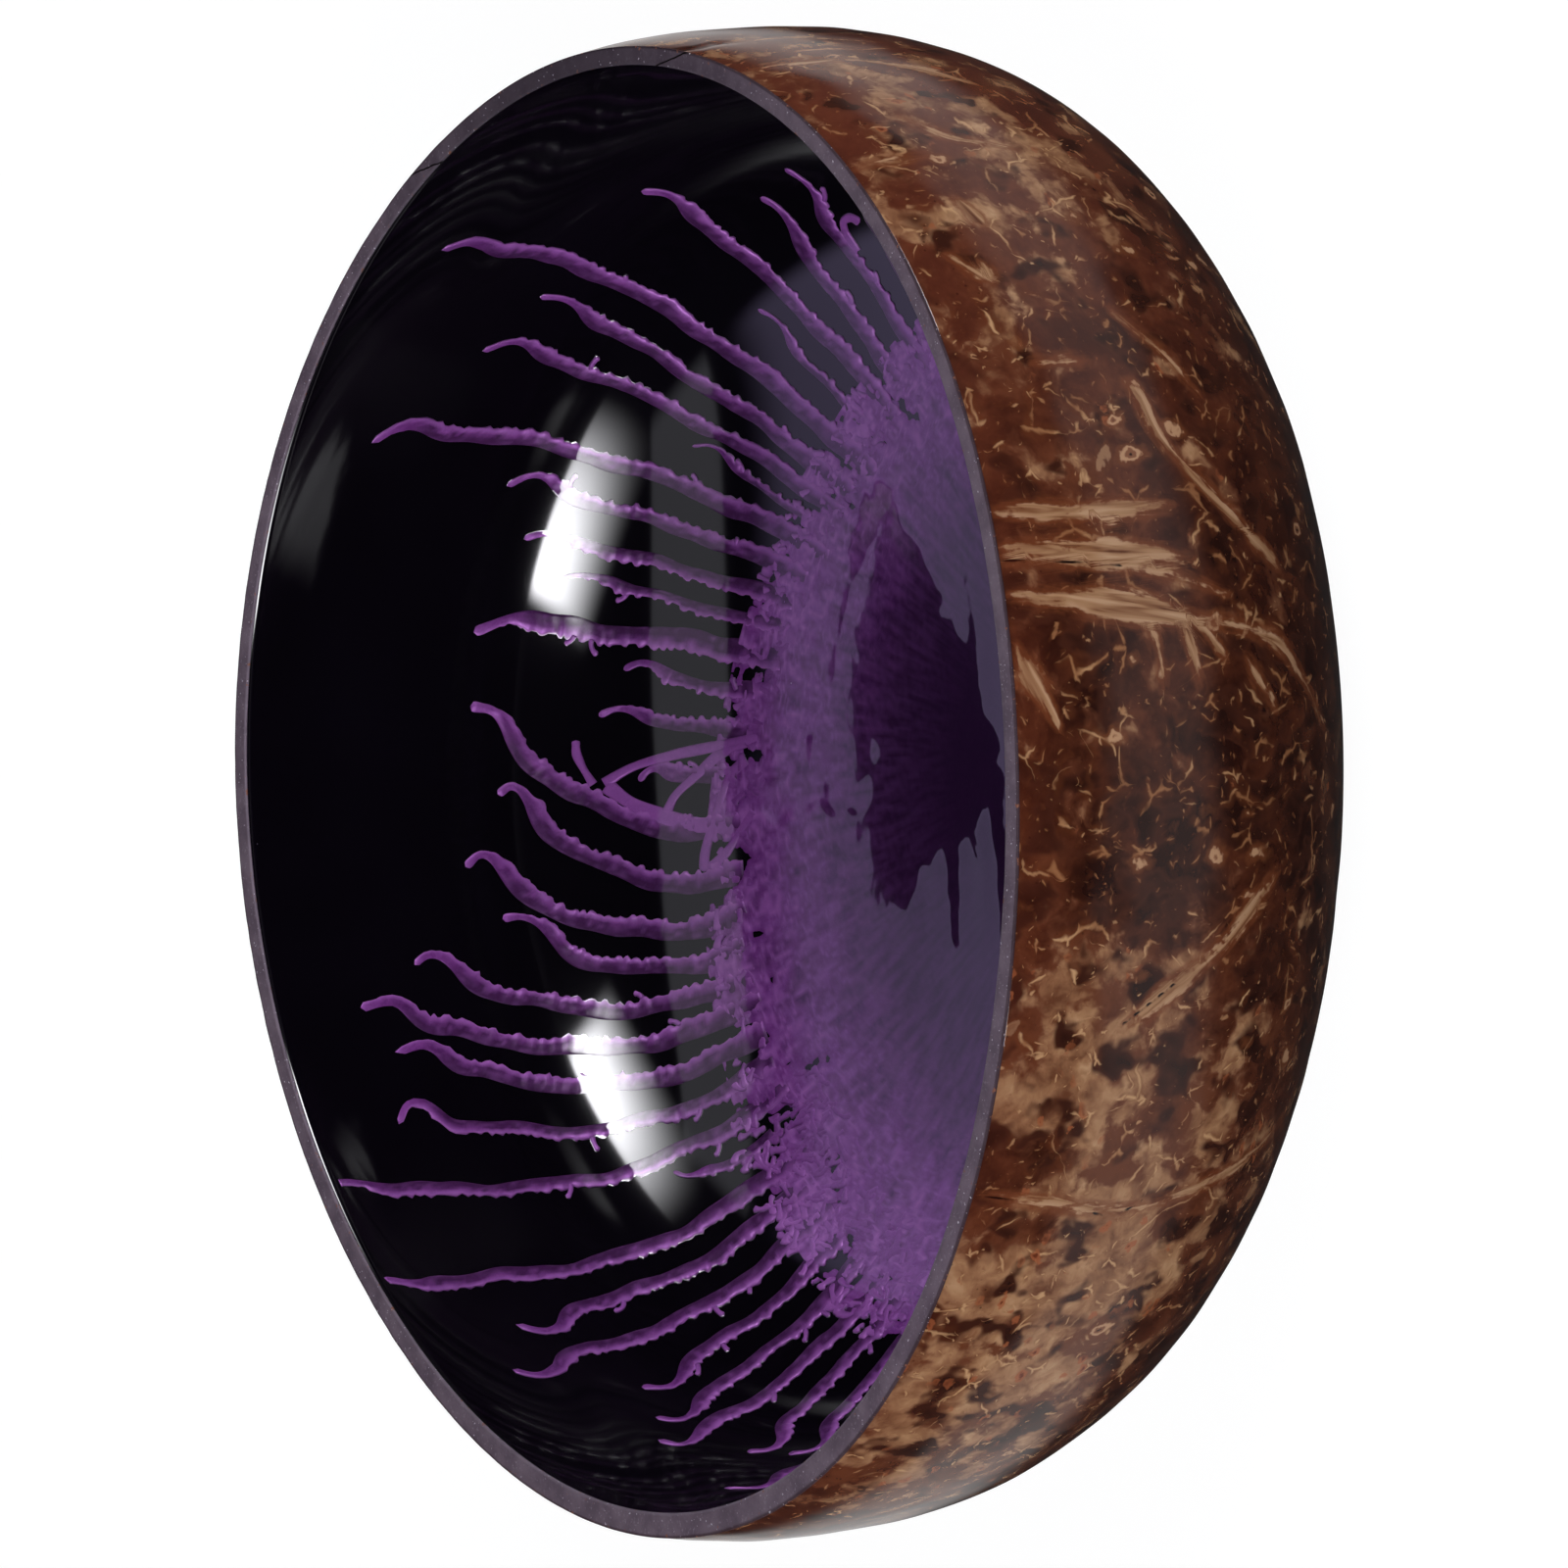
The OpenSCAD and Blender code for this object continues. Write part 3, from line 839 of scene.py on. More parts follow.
shader, place = material(black, "black_gloss_lacquer")
dust, haze = worn(place)
colour = mix(cloud(place, 12.0, 3.0), rgb(5, 3, 7), rgb(10, 7, 14))
colour = mix(0.5 * dust, colour, rgb(90, 86, 96))
feed(shader, {
    "Base Color": colour,
    "Roughness": 0.30 + 0.08 * haze,
    "Specular IOR Level": 0.0,
    "Coat Weight": 0.8,
    "Coat Roughness": 0.07,
    "Coat IOR": 1.3,
})

# The rim: the sawn and sanded cut edge of shell and lining under a satin coat, its
# corners eased. Fine scratches cross it and small chips show along its edges.
rim_around = 720
rim_reach = np.array([0.0, 0.0, 0.012, 0.04, 0.08, 0.25, 0.5, 0.7, 0.86, 0.93, 0.975, 1.0, 1.0])
rim_lift = np.array([0.0, 0.72, 0.88, 0.97, 1.0, 1.0, 1.0, 1.0, 1.0, 0.96, 0.8, 0.5, 0.0])
rim_angles = round_angles(rim_around)
edge_turn = np.full(rim_around, top_level)
outer_edge = nut_point(edge_turn, rim_angles, skin)
inner_edge = nut_point(edge_turn, rim_angles, wall_depth(edge_turn, rim_angles) + lining)
rim_rows = inner_edge + (outer_edge - inner_edge) * (1 - rim_reach[:, None, None])
wobble = ripple(outer_edge, 7, 30, 8) * 0.02 + ripple(outer_edge, 1.6, 30, 9) * 0.008
rim_rows[..., 2] = shell_top - 0.02 + rim_lift[:, None] * (rim_coat - 0.01 - np.abs(wobble))
rim = ring_skin("rim_lacquer", rim_rows)
across_share, angle = grid(rim_reach, rim_angles)
vertex_values(rim, "across_share", across_share)
# Painted shade: the rim's colour is darkened round the +X side, where it catches less sheen
vertex_values(rim, "painted_shade_part", bell(angle_apart(angle, 2), 0, 26))
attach(rim, "root")
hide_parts("rim_lacquer")

# Colours of the rim's satin coat and of its marks, and of its painted shade and painted highlight
satin_dark, satin_light = rgb(88, 76, 87), rgb(110, 97, 108)
scratch_pale, inner_painted_highlight, outer_dark = rgb(141, 132, 143), rgb(126, 116, 128), rgb(44, 26, 26)
painted_shade_grey, chip_brown, crack_black = rgb(40, 35, 42), rgb(126, 84, 68), rgb(14, 11, 12)
fleck_white = rgb(205, 200, 210)

shader, place = material(rim, "satin_rim_coat")
tree = place.tree
across_share = value_of(tree, "across_share")
tone = step(cloud(place, 3.0, 4.0, 0.6), 0.3, 0.7)
colour = mix(tone, satin_dark, satin_light)
scratch = step(cloud(moved(place, (3, 5, 7), (1.0, 1.0, 0.3)), 0.35, 2.0, 0.6), 0.58, 0.72)
colour = mix(0.35 * scratch, colour, scratch_pale)
# Painted highlight: a paler band along the rim's inner edge
colour = mix(0.35 * step(across_share, 0.86, 0.95), colour, inner_painted_highlight)
colour = mix(0.7 * step(across_share, 0.16, 0.04), colour, outer_dark)
# Painted shade round the rim's +X side
colour = mix(0.75 * value_of(tree, "painted_shade_part"), colour, painted_shade_grey)
chip = step(cloud(place, 0.8, 3.0, 0.6) + 0.34 * abs(across_share - 0.5), 0.77, 0.84)
colour = mix(chip, colour, chip_brown)
fleck = step(cloud(moved(place, (8, 2, 4)), 0.28, 1.0, 0.5), 0.735, 0.76)
colour = mix(0.8 * fleck, colour, fleck_white)

# One fine crack across the rim, straight from its inner to its outer edge
crack_from, crack_to = inner_edge[696, :2], outer_edge[688, :2]
start, way = crack_from.tolist(), unit(crack_to - crack_from).tolist()
east, north, _ = parts(shifted(place, 1.2, 0.12))
off_crack = (east - start[0]) * way[1] - (north - start[1]) * way[0]
split = step(abs(off_crack), 0.11, 0.05) * step(east, 40.0, 41.0)
colour = mix(split, colour, crack_black)
lift = 0.3 * scratch - calc("MAXIMUM", chip, split)
feed(shader, {
    "Base Color": colour,
    "Roughness": 0.40 + 0.12 * tone,
    "Normal": field(tree, "Bump", {"Height": lift, "Strength": 0.3, "Distance": 0.00006}),
    "Specular IOR Level": 0.0,
})

# The paint pool: pearl purple paint poured into the bottom. It ends in a lace of
# small fingers and beads, and lies under the same clear gloss as the runs.
pool_share = 0.4
pool_drift_share = 0.08
pool_turn = 160.0
pool_wave_share = 0.03
pool_around = 580
pool_rows = 150
pool_margin = 1.06
pool_height = 0.12
pool_sink = -0.12


def pool_reach(angle):
    """Share of the way to the rim at which the pool ends."""
    drift = pool_drift_share * np.cos(np.radians(angle - pool_turn))
    return pool_share + drift + pool_wave_share * np.cos(np.radians(2 * (angle - pool_turn)))


def climb(share):
    """Angle on the outline at a share of the way from the bottom to the rim."""
    return end_level + share * (top_level - end_level)


def wall_way(turn, angle):
    """Unit vector out of the lining's face: square to its slopes along and round the wall."""
    turn = np.clip(turn, -89.5, top_level - 0.6)
    up = wall_point(turn + 0.4, angle, 0.0) - wall_point(turn - 0.4, angle, 0.0)
    aside = wall_point(turn, angle + 1, 0.0) - wall_point(turn, angle - 1, 0.0)
    return unit(np.cross(up, aside))


def vertex_ways(piece, name, ways):
    """Give each point of a piece a direction that its material can read by name."""
    filled = np.zeros((len(piece.data.vertices), 3))
    filled[:, 2] = 1.0
    filled[: ways.size // 3] = ways.reshape(-1, 3)
    made = piece.data.attributes.new(name, "FLOAT_VECTOR", "POINT")
    made.data.foreach_set("vector", filled.ravel().astype(np.float32))


def pool_grid(rows):
    """Rows at shares of the pool's reach, with the outline angles and angles round the
    bowl of their points."""
    out, angle = grid(rows, round_angles(pool_around))
    return out, climb(out * pool_reach(angle) * pool_margin), angle


def along_flow(angle, outward, size, pull):
    """Places on a circle of a size, raised by a share of the way outward, so that a ripple
    over them is drawn out along the paint's flow from the middle."""
    return np.stack([size * np.cos(np.radians(angle)), size * np.sin(np.radians(angle)), pull * outward], -1)


def over(value, start, gain):
    """0 up to a start, then rising by the gain up to 1."""
    return np.clip((value - start) * gain, 0, 1)


# How far inside its edge each point lies, from its place and ripples in the edge
pool_steps = np.r_[0.012, 0.028, np.linspace(0, 1, pool_rows + 1)[1:] ** 0.62]
out, turn, angle = pool_grid(pool_steps)
flat = nut_point(turn, angle, wall_depth(turn, angle))
middle = flat.mean((0, 1))
outward = np.hypot(flat[..., 0] - middle[0], flat[..., 1] - middle[1])
fringe = 1.1 * ripple(along_flow(angle, outward, 30, 0.4), 2.6, 60, 21)
fringe += 0.5 * ripple(flat, 1.9, 60, 22) + 0.3 * ripple(flat, 1.0, 60, 23)
thin_parts = bell(angle, 146, 24) + 0.5 * bell(angle, 55, 22)
inside = (1.0 - out) * 13.0 - 0.1 + fringe * over(out, 0.45, 3)
inside -= 0.15 * thin_parts * over(out, 0.55, 4)

# Height over the lining: level with faint waves, a net of beads and a combed middle
level = np.tanh(inside * 1.1)
height = np.where(level > 0, pool_height * level, 0.05 * level)
height += (0.0012 + 0.003 * over(out, 0.6, 3)) * ripple(flat, 2.2, 50, 24) * np.clip(level, 0, 1)
bent = flat + 0.5 * np.stack([ripple(flat, 3.0, 30, seed) for seed in (25, 26, 27)], -1)
net = bell(ripple(bent, 3.4, 60, 28), 0, 0.33) + 0.6 * bell(ripple(bent, 2.0, 60, 29), 0, 0.3)
net = np.clip(net, 0, 1.2) * over(out, 0.50, 1 / 0.35) * over(inside, 0, 1 / 0.6)
flow = along_flow(angle, outward, 55, 0.45)
combed = 0.6 * ripple(flow, 2.4, 70, 31) + 0.5 * ripple(flow, 1.3, 70, 32) + 0.35 * ripple(flat, 0.9, 60, 33)
combed = np.clip(0.5 + 0.33 * combed, 0, 1) * over(out, 0.25, 2) * np.clip(inside, 0, 1)
height += 0.045 * net + 0.02 * combed
height[-1] = -0.08

_, under_turn, under_angle = pool_grid(np.r_[pool_steps[2:60:6], pool_steps[71::10]])
under = wall_point(under_turn, under_angle, pool_sink)
face = wall_point(turn, angle, height)[::-1]
poles = [wall_point(*nut_pole, pool_sink), wall_point(*nut_pole, pool_height)]
pool = ring_skin("paint_pool", np.concatenate([under, face]), poles)
under_values = np.zeros(under.shape[:2])
vertex_values(pool, "paint_edge", np.concatenate([under_values, np.clip(inside, -3, 14)[::-1]]), 13.0)
vertex_values(pool, "net", np.concatenate([under_values, net[::-1]]))
vertex_values(pool, "combed", np.concatenate([under_values, combed[::-1]]))
ways = np.concatenate([wall_way(under_turn, under_angle), wall_way(turn, angle)[::-1]])
vertex_ways(pool, "gloss_way", ways)
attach(pool, "root")
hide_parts("paint_pool")

# Colours of the pearl paint
paint_deep, paint_purple, fleck_purple = rgb(92, 36, 106), rgb(110, 46, 124), rgb(128, 64, 144)
grain_purple, darkening_purple, bead_and_highlight_purple = rgb(150, 90, 168), rgb(37, 14, 42), rgb(168, 104, 184)
dust_pale, mirrored_purple = rgb(220, 200, 230), rgb(20, 8, 24)

# Pearl paint: Light lightens raised paint, partly as a painted highlight; Darkening darkens it, on the runs
# partly as painted shade
pearl_purple, given = node_group(
    "pearl_purple",
    {"Place": "Vector", "Light": "Float", "Darkening": "Float"},
    {"Color": "Color", "Height": "Float"},
)
cloudy = step(cloud(given["Place"], 3.4, 3.0, 0.55), 0.3, 0.7)
fleck = step(cloud(given["Place"], 0.6, 2.0, 0.6), 0.4, 0.7)
grain = step(cloud(given["Place"], 0.25, 2.0, 0.6), 0.45, 0.75)
colour = mix(cloudy, paint_deep, paint_purple)
colour = mix(0.3 * fleck, colour, fleck_purple)
colour = mix(0.2 * grain, colour, grain_purple)
colour = mix(given["Darkening"], colour, darkening_purple)
colour = mix(given["Light"], colour, bead_and_highlight_purple)
raised = 0.6 * given["Light"] + 0.25 * fleck
feed(pearl_purple.nodes.new("NodeGroupOutput"), {"Color": colour, "Height": raised})


def painted(piece, name):
    """Pearl paint under clear gloss, which lies flatter than the paint. It is darker where
    it is seen in another surface. Gives the paint's node, whose Light brightens beads and
    walls, partly as a painted highlight, and whose Darkening darkens the paint, on the
    runs partly as painted shade."""
    shader, place = material(piece, name)
    tree = place.tree
    paint = put(tree, "Group", {"Place": place}, node_tree=pearl_purple)
    dust, haze = worn(place)
    colour = mix(0.5 * dust, Field(paint.outputs["Color"]), dust_pale)
    colour = mix(0.8 * ray(tree, "Glossy"), colour, mirrored_purple)
    bump = {"Height": Field(paint.outputs["Height"]), "Strength": 0.35, "Distance": 0.00008}
    flat_way = field(tree, "Attribute", output="Vector", attribute_name="gloss_way")
    own_way = field(tree, "NewGeometry", output="Normal")
    gloss_way = field(tree, "Mix", {4: flat_way, 5: own_way, 0: 0.06}, 1, data_type="VECTOR")
    drawn = moved(place, (0.0, 0.0, 0.0), (0.4, 1.0, 1.0))
    noise = field(tree, "TexNoise", {"Vector": drawn, "Scale": 0.6, "Detail": 3.0}, "Color")
    gloss_way = pushed(gloss_way, noise, 0.035)
    feed(shader, {
        "Base Color": colour,
        "Roughness": 0.36 + 0.1 * haze,
        "Normal": field(tree, "Bump", bump),
        "Metallic": 0.04,
        "Specular IOR Level": 0.03,
        "Coat Weight": 0.8,
        "Coat Roughness": 0.03,
        "Coat IOR": 1.3,
        "Coat Normal": field(tree, "VectorMath", {0: gloss_way}, operation="NORMALIZE"),
    })
    return paint, tree


paint, tree = painted(pool, "pool_paint")
combed = value_of(tree, "combed")
# Net and combed ridges are lighter, partly as painted highlight; the paint darkens further inside its edge
feed(paint, {
    "Light": 0.45 * value_of(tree, "net") + 0.3 * combed,
    "Darkening": step(value_of(tree, "paint_edge"), 0.8, 7.5) * (0.92 - 0.28 * combed),
})

# The runs: threads of the same paint drawn up the wall from the pool while it was
# wet. Each is smooth on one side and beaded on the other, and ends in a hooked tip.
paint_gap = 0.08
run_width = 2.4
run_bend = 1.6
run_hook = 1.3
run_height = 0.13
run_thinning = 0.27
run_along = 120
run_steps = np.linspace(-0.10, 1, run_along)
run_forward = np.clip(run_steps, 0, 1)
hair_along = 14
mm_a_degree = 0.87
path_depth = 2.0
# Runs on the far side: angles of root and tip, share of the way from the pool to the rim,
# and width share
far_runs = [
    [16, 13, 0.36, 0.9], [21.5, 18, 0.42, 0.9], [27.5, 22.5, 0.41, 1], [32.5, 28, 0.62, 1.05],
    [37.5, 35.5, 0.27, 0.7], [42.5, 36, 0.86, 1.1], [47.5, 43, 0.68, 0.95],
    [51.5, 48.5, 0.74, 0.9], [55, 54, 0.26, 0.6], [59, 57.5, 0.84, 1], [63.5, 63, 0.61, 0.9],
    [67.5, 67.5, 0.54, 0.8], [71, 70.5, 0.46, 0.7], [75, 75.5, 0.61, 1.1],
    [80, 79.5, 0.27, 0.8], [85, 84, 0.31, 0.8], [90.5, 90, 0.21, 0.9], [96.5, 83, 0.59, 1.05],
    [102, 90, 0.53, 1], [106.5, 96, 0.61, 1], [110.5, 102.5, 0.53, 0.9], [114, 105, 0.73, 0.95],
    [117.5, 109, 0.81, 1], [121, 113, 0.77, 1], [124.5, 118.5, 0.81, 0.85],
    [128, 124, 0.99, 0.9], [132, 130.5, 0.26, 0.7], [136, 135, 0.99, 1], [140, 140.5, 0.76, 1],
    [144, 146, 0.82, 1], [148, 150.5, 0.64, 0.95], [152, 155, 0.67, 0.95],
    [156, 159.5, 0.71, 1], [160, 163.5, 0.59, 0.95], [164.5, 166.5, 0.53, 0.9],
]
near_count = 34
near_roots = 171 + 200 * np.arange(near_count) / near_count
near_tips = near_roots + 4 * np.sin(np.radians(2 * near_roots))
near_reach = 0.52 + 0.17 * np.sin(np.radians(3 * near_roots)) + 0.13 * np.sin(np.radians(near_roots**2))
near_runs = np.stack([near_roots, near_tips, near_reach, np.full(near_count, 0.9)], -1).tolist()
# Width shares of a run from root to tip, and near the tip by the way to it in mm
body_places, body_shares = [0, 0.12, 0.3, 0.6, 1.0], [1.35, 1.15, 1.0, 0.94, 0.94]
neck_places = [0, 0.6, 2.0, 3.8, 5.2, 6.6, 9.5]
neck_shares = [0.56, 0.60, 0.46, 0.56, 0.96, 1.2, 1.0]
run_body = np.interp(run_forward, body_places, body_shares)
# A strip's section: places across it and their height shares
strip_across = np.array([-1.0, -0.93, -0.7, -0.25, 0.25, 0.7, 0.93, 1.0])
strip_section = np.array([-0.05, 0.55, 0.9, 1.0, 1.0, 0.9, 0.55, -0.05])


def skin_strip(centre, half_low, half_high, lift, slant=0.0):
    """Rows of points for a strip on the wall, and the wall's own directions there. The
    strip's line is given by outline shares and angles; its rows lie square to the line,
    and its sides at the half widths. Its section rises by the lift, more to one side by
    the slant."""
    share, angle = centre
    here = nut_point(climb(share), angle, path_depth)
    up_step = nut_point(climb(share + 0.002), angle, path_depth) - here
    round_step = nut_point(climb(share), angle + 0.5, path_depth) - here
    mm_a_share = np.linalg.norm(up_step, axis=-1) / 0.002
    mm_a_turn = np.linalg.norm(round_step, axis=-1) / 0.5
    up, aside = np.gradient(share) * mm_a_share, np.gradient(angle) * mm_a_turn
    length = np.hypot(up, aside) + 1e-9
    width = np.where(strip_across[None, :] < 0, half_low[:, None], half_high[:, None]) * strip_across
    spot_share = share[:, None] - width * (aside / length / mm_a_share)[:, None]
    spot_angle = angle[:, None] + width * (up / length / mm_a_turn)[:, None]
    rise = np.atleast_2d(lift.T).T * (1 + slant * strip_across)
    height = np.where(strip_section > 0, strip_section * rise, strip_section)
    return wall_point(climb(spot_share), spot_angle, height), wall_way(climb(spot_share), spot_angle)


def walk(share, angle, lengths, heading):
    """The line bent sideways: at each step it turns from its own way by the heading, in
    radians, towards growing angles where positive."""
    gone = np.diff(lengths, prepend=lengths[0])
    ahead = lengths[0] + np.cumsum(np.cos(heading) * gone)
    aside = np.cumsum(np.sin(heading) * gone)
    return np.interp(ahead, lengths, share), np.interp(ahead, lengths, angle) + aside / mm_a_degree


def rounded(to_end, radius):
    """Width share of a strip with a round end: a quarter circle over the last part."""
    cap = np.clip(to_end / radius, 0, 1)
    return np.sqrt(cap * (2 - cap)) + 1e-3


class Strips:
    """Strips of one piece: their points, gloss directions, and light and depth of tone, which are partly
    painted highlight and painted shade.
    """

    def __init__(self):
        self.points, self.ways, self.lights, self.tones = [], [], [], []

    def add(self, strip, light, tone):
        """Keep a strip with how light and how deep in tone each of its points is, partly as painted
        highlight and painted shade.
        """
        points, ways = strip
        self.points.append(points)
        self.ways.append(ways.reshape(-1, 3))
        self.lights.append(np.broadcast_to(light, points.shape[:2]).ravel())
        self.tones.append(np.broadcast_to(tone, points.shape[:2]).ravel())

    def piece(self, name):
        """One mesh of all the strips, each a closed tube with flat ends."""
        faces, total = [], 0
        for points in self.points:
            rows, wide = points.shape[:2]
            here = total + np.arange(rows * wide).reshape(rows, wide)
            beside = np.roll(here, -1, axis=1)
            sides = np.stack([here[:-1], here[1:], beside[1:], beside[:-1]], -1)
            faces += sides.reshape(-1, 4).tolist() + [here[0].tolist(), here[-1, ::-1].tolist()]
            total += rows * wide
        points = np.concatenate([points.reshape(-1, 3) for points in self.points])
        made = mesh_piece(name, points, faces)
        vertex_values(made, "bead_light_and_highlight", np.concatenate(self.lights))
        vertex_values(made, "deep_tone_and_shade", np.concatenate(self.tones))
        vertex_ways(made, "gloss_way", np.concatenate(self.ways))
        return made


def run_line(number, root, tip, climb_share, dice):
    """Shares, angles and lengths in mm along a run from the pool's edge. It bends more
    and more from its root's angle to its tip's, sways a little, and near its end it turns
    away and back again into a hook."""
    pool_edge = float(pool_reach(root)) + paint_gap / shell_radius
    share = pool_edge + run_steps * climb_share * (1 - pool_edge)
    wave = 0.5 * run_hook * np.sin(2 * np.pi * run_forward) * run_forward**2
    angle = root + (tip - root) * run_forward**run_bend + wave
    path = nut_point(climb(share), angle, path_depth)
    lengths = np.r_[0, np.cumsum(np.linalg.norm(np.diff(path, axis=0), axis=1))]
    to_tip, size = lengths[-1] - lengths, min(1.0, lengths[-1] / 20)
    hooked = float(np.interp(root, [20, 90, 125, 140], [0.35, 0.6, 0.95, 1.0]))
    hooked *= 0.2 if climb_share > 0.9 else 1
    away_turn = hooked * dice.uniform(0.3, 0.9) * bell(to_tip, 5.6 * size, 1.7 * size)
    back_turn = hooked * dice.uniform(0.35, 1.0) * np.clip(1.5 - to_tip / (2.3 * size), 0, 1)
    hook_way = -1 if root < 130 or root > 250 else 1
    sway = 0.10 * np.sin(lengths * 0.5 + number) + 0.07 * np.sin(lengths * 1.1 + 3 * number)
    share, angle = walk(share, angle, lengths, hook_way * (away_turn - back_turn) + sway)
    return np.minimum(share, 0.985), angle, lengths


def add_run(number, line, width_share, beaded, dice):
    """Keep a run's strip: uneven in width with a narrow neck before its tip, half-round
    beads along one side, and small scales that lift it. Its colour is lighter on the beaded
    side, the scales and near the tip, and darker on the smooth side: partly the paint's own
    tone, partly painted highlight and painted shade. Gives the beaded side's half width
    along the run."""
    share, angle, lengths = line
    to_tip, size = lengths[-1] - lengths, min(1.0, lengths[-1] / 20)
    neck = np.interp(to_tip / size, neck_places, neck_shares)
    neck = np.convolve(np.pad(neck, 3, "edge"), np.ones(7) / 7, "valid")
    uneven = 0.07 * np.sin(lengths * 0.55 + 5 * number) + 0.05 * np.sin(lengths * 1.5 + number)
    half = run_width * (width_share - run_thinning) / 2 * run_body * neck * (1 + uneven)
    places = np.cumsum(dice.uniform(0.6, 1.7, 60))
    sizes = dice.uniform(0.25, 0.5, 60)
    rises = dice.uniform(0.12, 0.45, 60)
    humps = np.sqrt(np.clip(1 - ((lengths[:, None] - places) / sizes) ** 2, 0, 1)) * rises
    beads = humps.max(1) * np.clip(to_tip / 3 - 0.6, 0, 1)
    round_end = rounded(to_tip, 0.55)
    beaded_half, plain_half = (half + beads) * round_end, half * round_end
    low, high = (beaded_half, plain_half) if beaded < 0 else (plain_half, beaded_half)
    knots = np.arange(0.0, lengths[-1] + 2.0, 0.55)
    scales = dice.normal(0, 0.5, (len(knots), len(strip_across)))
    scales = np.stack([np.interp(lengths, knots, column) for column in scales.T], -1)
    lift = run_height * (1 + 1.2 * beads) * np.clip(to_tip / 0.5, 0.15, 1)
    lift = lift[:, None] * (1 + 0.45 * np.clip(scales, -1, 1))
    side = beaded * strip_across[None, :]
    # Partly painted highlight: lighter on the beaded side, on raised scales and beads, and near the tip
    glow = 0.03 + 0.75 * np.clip(1.25 * side - 0.2, 0, 1) ** 1.5 + 0.22 * scales
    glow = glow + 1.2 * np.clip(side, 0, 1) ** 2 * beads[:, None]
    glow = glow + 0.3 * np.clip(1 - to_tip[:, None] / 3, 0, 1)
    # Partly painted shade: darker on the smooth side and between the scales
    deep = np.clip(0.9 - 1.1 * side - 0.45 * scales, 0, 1)
    deep = deep * np.clip(to_tip[:, None] / 4 - 0.6, 0, 1)
    strip = skin_strip((share, angle), low, high, lift, 0.45 * beaded)
    run_strips.add(strip, np.clip(glow, 0, 1), deep)
    return beaded_half


def add_hair(line, beaded_half, beaded, dice):
    """Keep a fine hair that leaves a run's beaded side at a steep angle and curls."""
    share, angle, lengths = line
    base = int(dice.uniform(0.12, 0.8) * run_along)
    reach = dice.uniform(0.6, 1.9)
    curl = dice.uniform(0.5, 1.1) if dice.random() < 0.7 else dice.uniform(-0.9, -0.4)
    gone = np.linspace(0, 1, hair_along)
    way = beaded * (1.25 - curl * gone * reach)
    up = lengths[base] + np.cumsum(np.cos(way)) * reach / hair_along
    aside = beaded * (beaded_half[base] - 0.4) + np.cumsum(np.sin(way)) * reach / hair_along
    thick = 0.27 - 0.05 * gone + 0.09 * bell(gone, 0.86, 0.14)
    thick = thick * rounded((1 - gone) * reach, 0.3)
    lift = 0.2 * np.clip((1 - gone) / 0.08, 0.2, 1)
    centre = np.interp(up, lengths, share), angle[base] + aside / mm_a_degree
    # Lighter towards the hair's end, partly as painted highlight
    run_strips.add(skin_strip(centre, thick, thick, lift), 0.35 + 0.35 * gone[:, None], 0.0)


run_strips = Strips()
for number, (root, tip, climb_share, width_share) in enumerate(far_runs + near_runs):
    dice = np.random.default_rng(100 + number)
    beaded = -1 if (root < 65 or 80 < root < 123 or 200 < root < 290) else 1
    line = run_line(number, root, tip, climb_share, dice)
    beaded_half = add_run(number, line, width_share, beaded, dice)
    for _ in range(int(dice.integers(0, 3))):
        add_hair(line, beaded_half, beaded, dice)

# Threads that cross between the runs: points (angle, share) and the half width in mm
threads = [
    ([(90.2, 0.575), (88.7, 0.536), (87.7, 0.479), (86.8, 0.413), (85.8, 0.36)], 0.5),
    ([(90.4, 0.572), (92.6, 0.537), (95.1, 0.472), (96.8, 0.40)], 0.75),
    ([(86.6, 0.38), (87.6, 0.415), (90.0, 0.447), (92.1, 0.482), (95.0, 0.50)], 0.5),
    ([(88.6, 0.38), (90.2, 0.404), (94.6, 0.425), (98.7, 0.448), (100.8, 0.452)], 0.48),
    ([(95.0, 0.375), (96.8, 0.394), (99.3, 0.418), (100.7, 0.447)], 0.45),
    ([(90.2, 0.59), (88.6, 0.603), (87.2, 0.612), (85.9, 0.612)], 0.42),
    ([(19.4, 0.47), (18.9, 0.497), (17.9, 0.511), (16.6, 0.508), (16.2, 0.495)], 0.45),
]
thread_along = 40
gone = np.linspace(0, 1, thread_along)
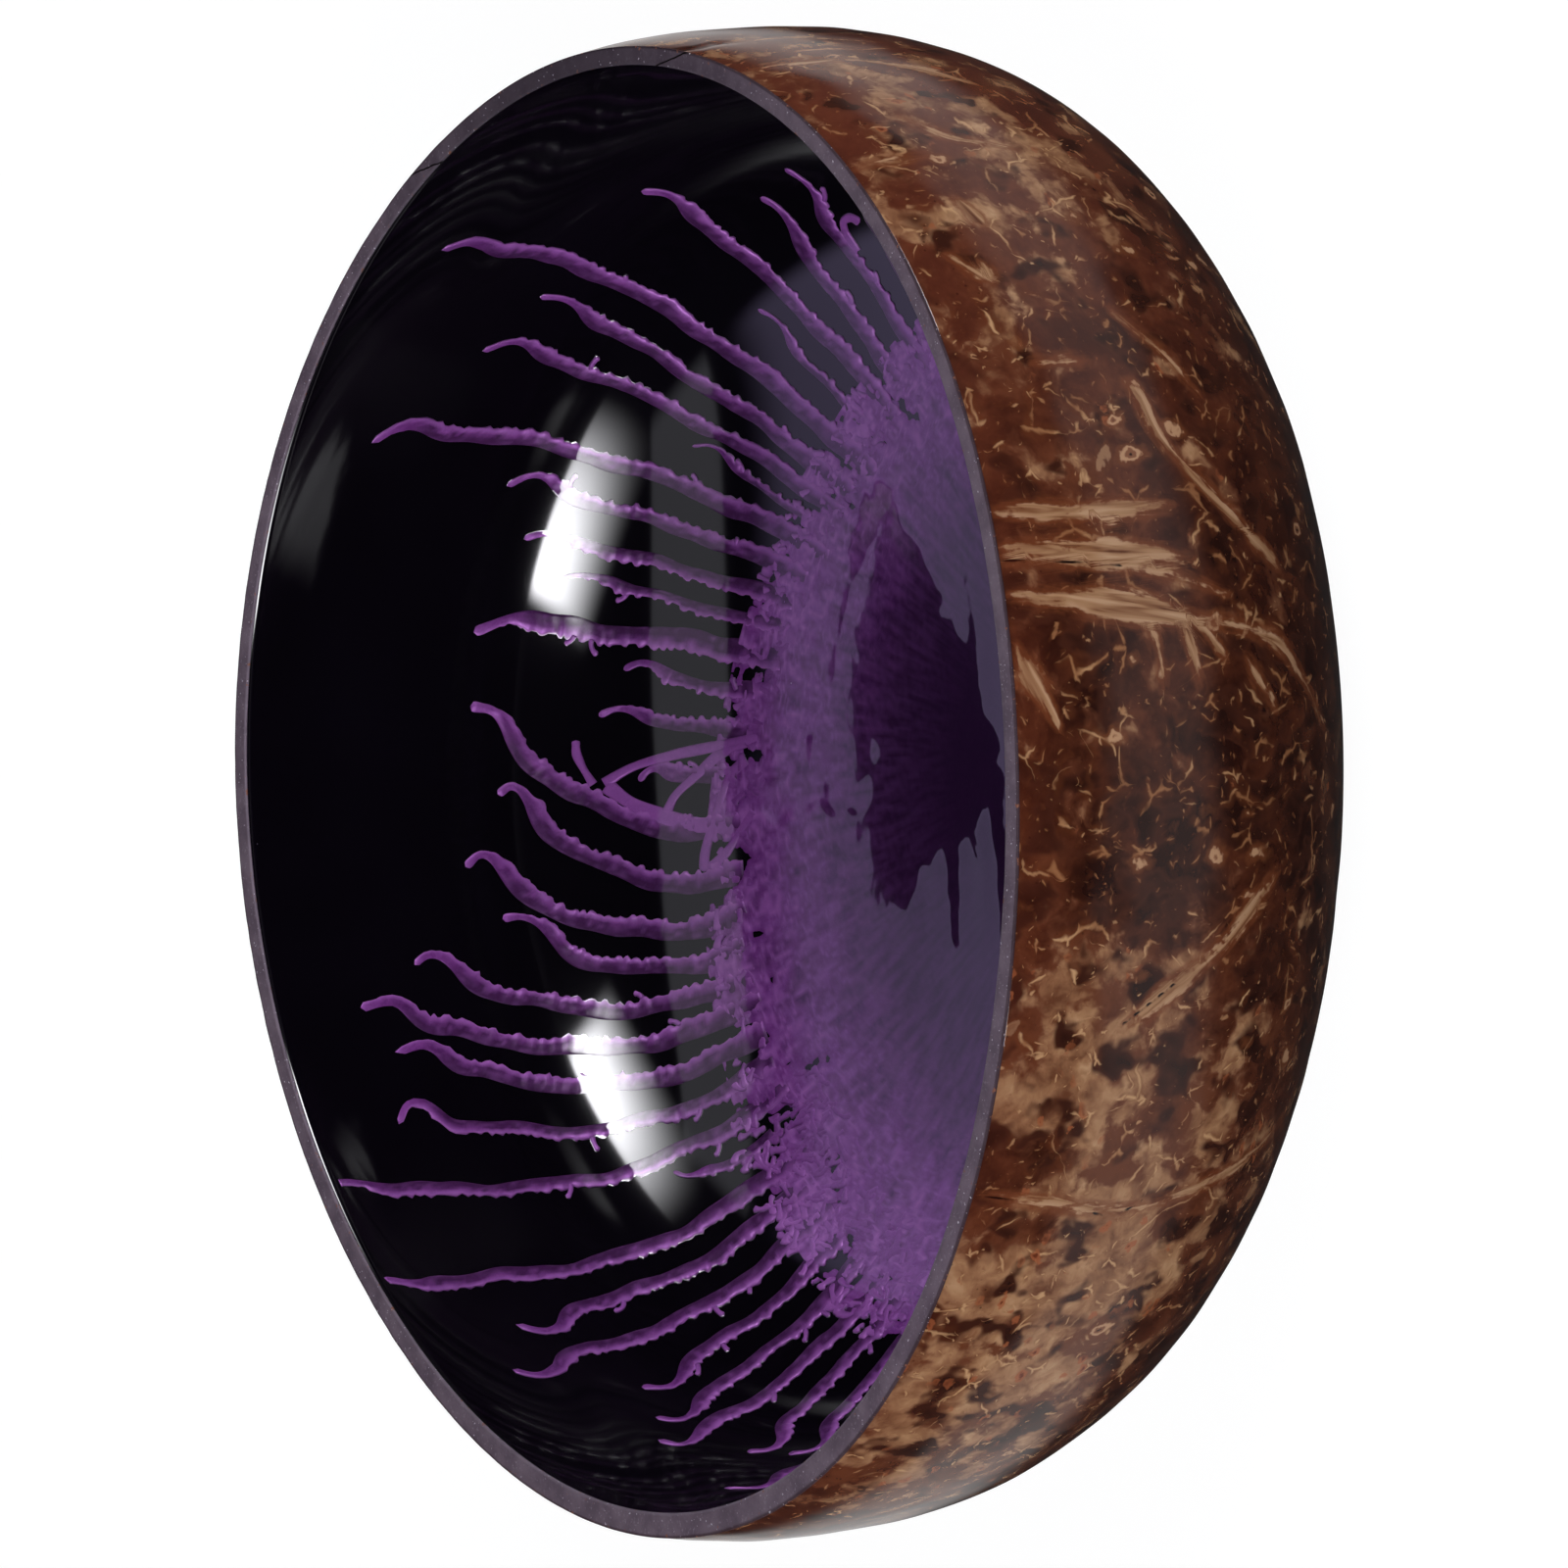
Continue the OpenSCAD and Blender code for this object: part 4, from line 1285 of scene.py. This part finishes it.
for line, half in threads:
    angle, share = smooth_line(line, thread_along, 12)
    thick = half * (1 + 0.15 * np.sin(9 * gone + angle[0]) + 0.15 * bell(gone, 0.93, 0.06))
    round_end = rounded(1 - gone, 0.05)
    thread = skin_strip((share, angle), thick * round_end, thick * round_end, 0.2 * round_end)
    # Threads are lighter all along, partly as painted highlight
    run_strips.add(thread, 0.45, 0.0)
runs = run_strips.piece("paint_runs")
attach(runs, "root")
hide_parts("paint_runs")
paint, tree = painted(runs, "run_paint")
# Bead light is partly painted highlight, and deep tone partly painted shade
feed(paint, {"Light": 0.8 * value_of(tree, "bead_light_and_highlight"), "Darkening": 0.78 * value_of(tree, "deep_tone_and_shade")})

# The lace: short blunt fingers of paint that branch over the pool's edge and out of it
# between the runs, thickest where the bowl's wall begins to steepen.
finger_count = 620
lace_strips = Strips()
dice = np.random.default_rng(77)
gone = np.linspace(0, 1, 12)
for number in range(finger_count):
    root = dice.uniform(8, 174) if number < 260 else dice.uniform(130, 174)
    root = dice.uniform(174, 368) if number > 500 else root
    back = dice.uniform(-0.03, 0.11) if root > 128 else dice.uniform(-0.012, 0.05)
    length = dice.uniform(1.3, 3.2) * (1.0 if root > 128 else 0.7)
    heading = dice.normal(0, 0.55) + dice.normal(0, 0.4) * gone * length
    up = np.cumsum(np.cos(heading)) * length / 12 / outline_length * 0.8
    angle = root + np.cumsum(np.sin(heading)) * length / 12 / 0.7
    half = dice.uniform(0.30, 0.50)
    thick = half * (0.75 + 0.12 * np.sin(4 * gone * length + number) + 0.5 * bell(gone, 0.88, 0.16))
    thick = thick * rounded((1 - gone) * length, half) * rounded(gone * length + 0.1, half)
    inner = float(np.clip(back / 0.04, 0, 1))
    lift = (dice.uniform(0.20, 0.26) - 0.06 * inner) * np.clip((1 - gone) / 0.1, 0.3, 1)
    finger = skin_strip((float(pool_reach(root)) - back + up, angle), thick, thick, lift)
    # Lighter towards each finger's tip and where it leaves the pool, partly as painted highlight
    light = dice.uniform(0.2, 0.65) * (1 - 0.55 * inner) + 0.3 * gone[:, None] * (1 - inner)
    lace_strips.add(finger, light, 0.0)
lace = lace_strips.piece("paint_lace")
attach(lace, "root")
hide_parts("paint_pool")
paint, tree = painted(lace, "lace_paint")
# The fingers' bead light is partly painted highlight
feed(paint, {"Light": 0.8 * value_of(tree, "bead_light_and_highlight"), "Darkening": 0.5 * value_of(tree, "deep_tone_and_shade")})
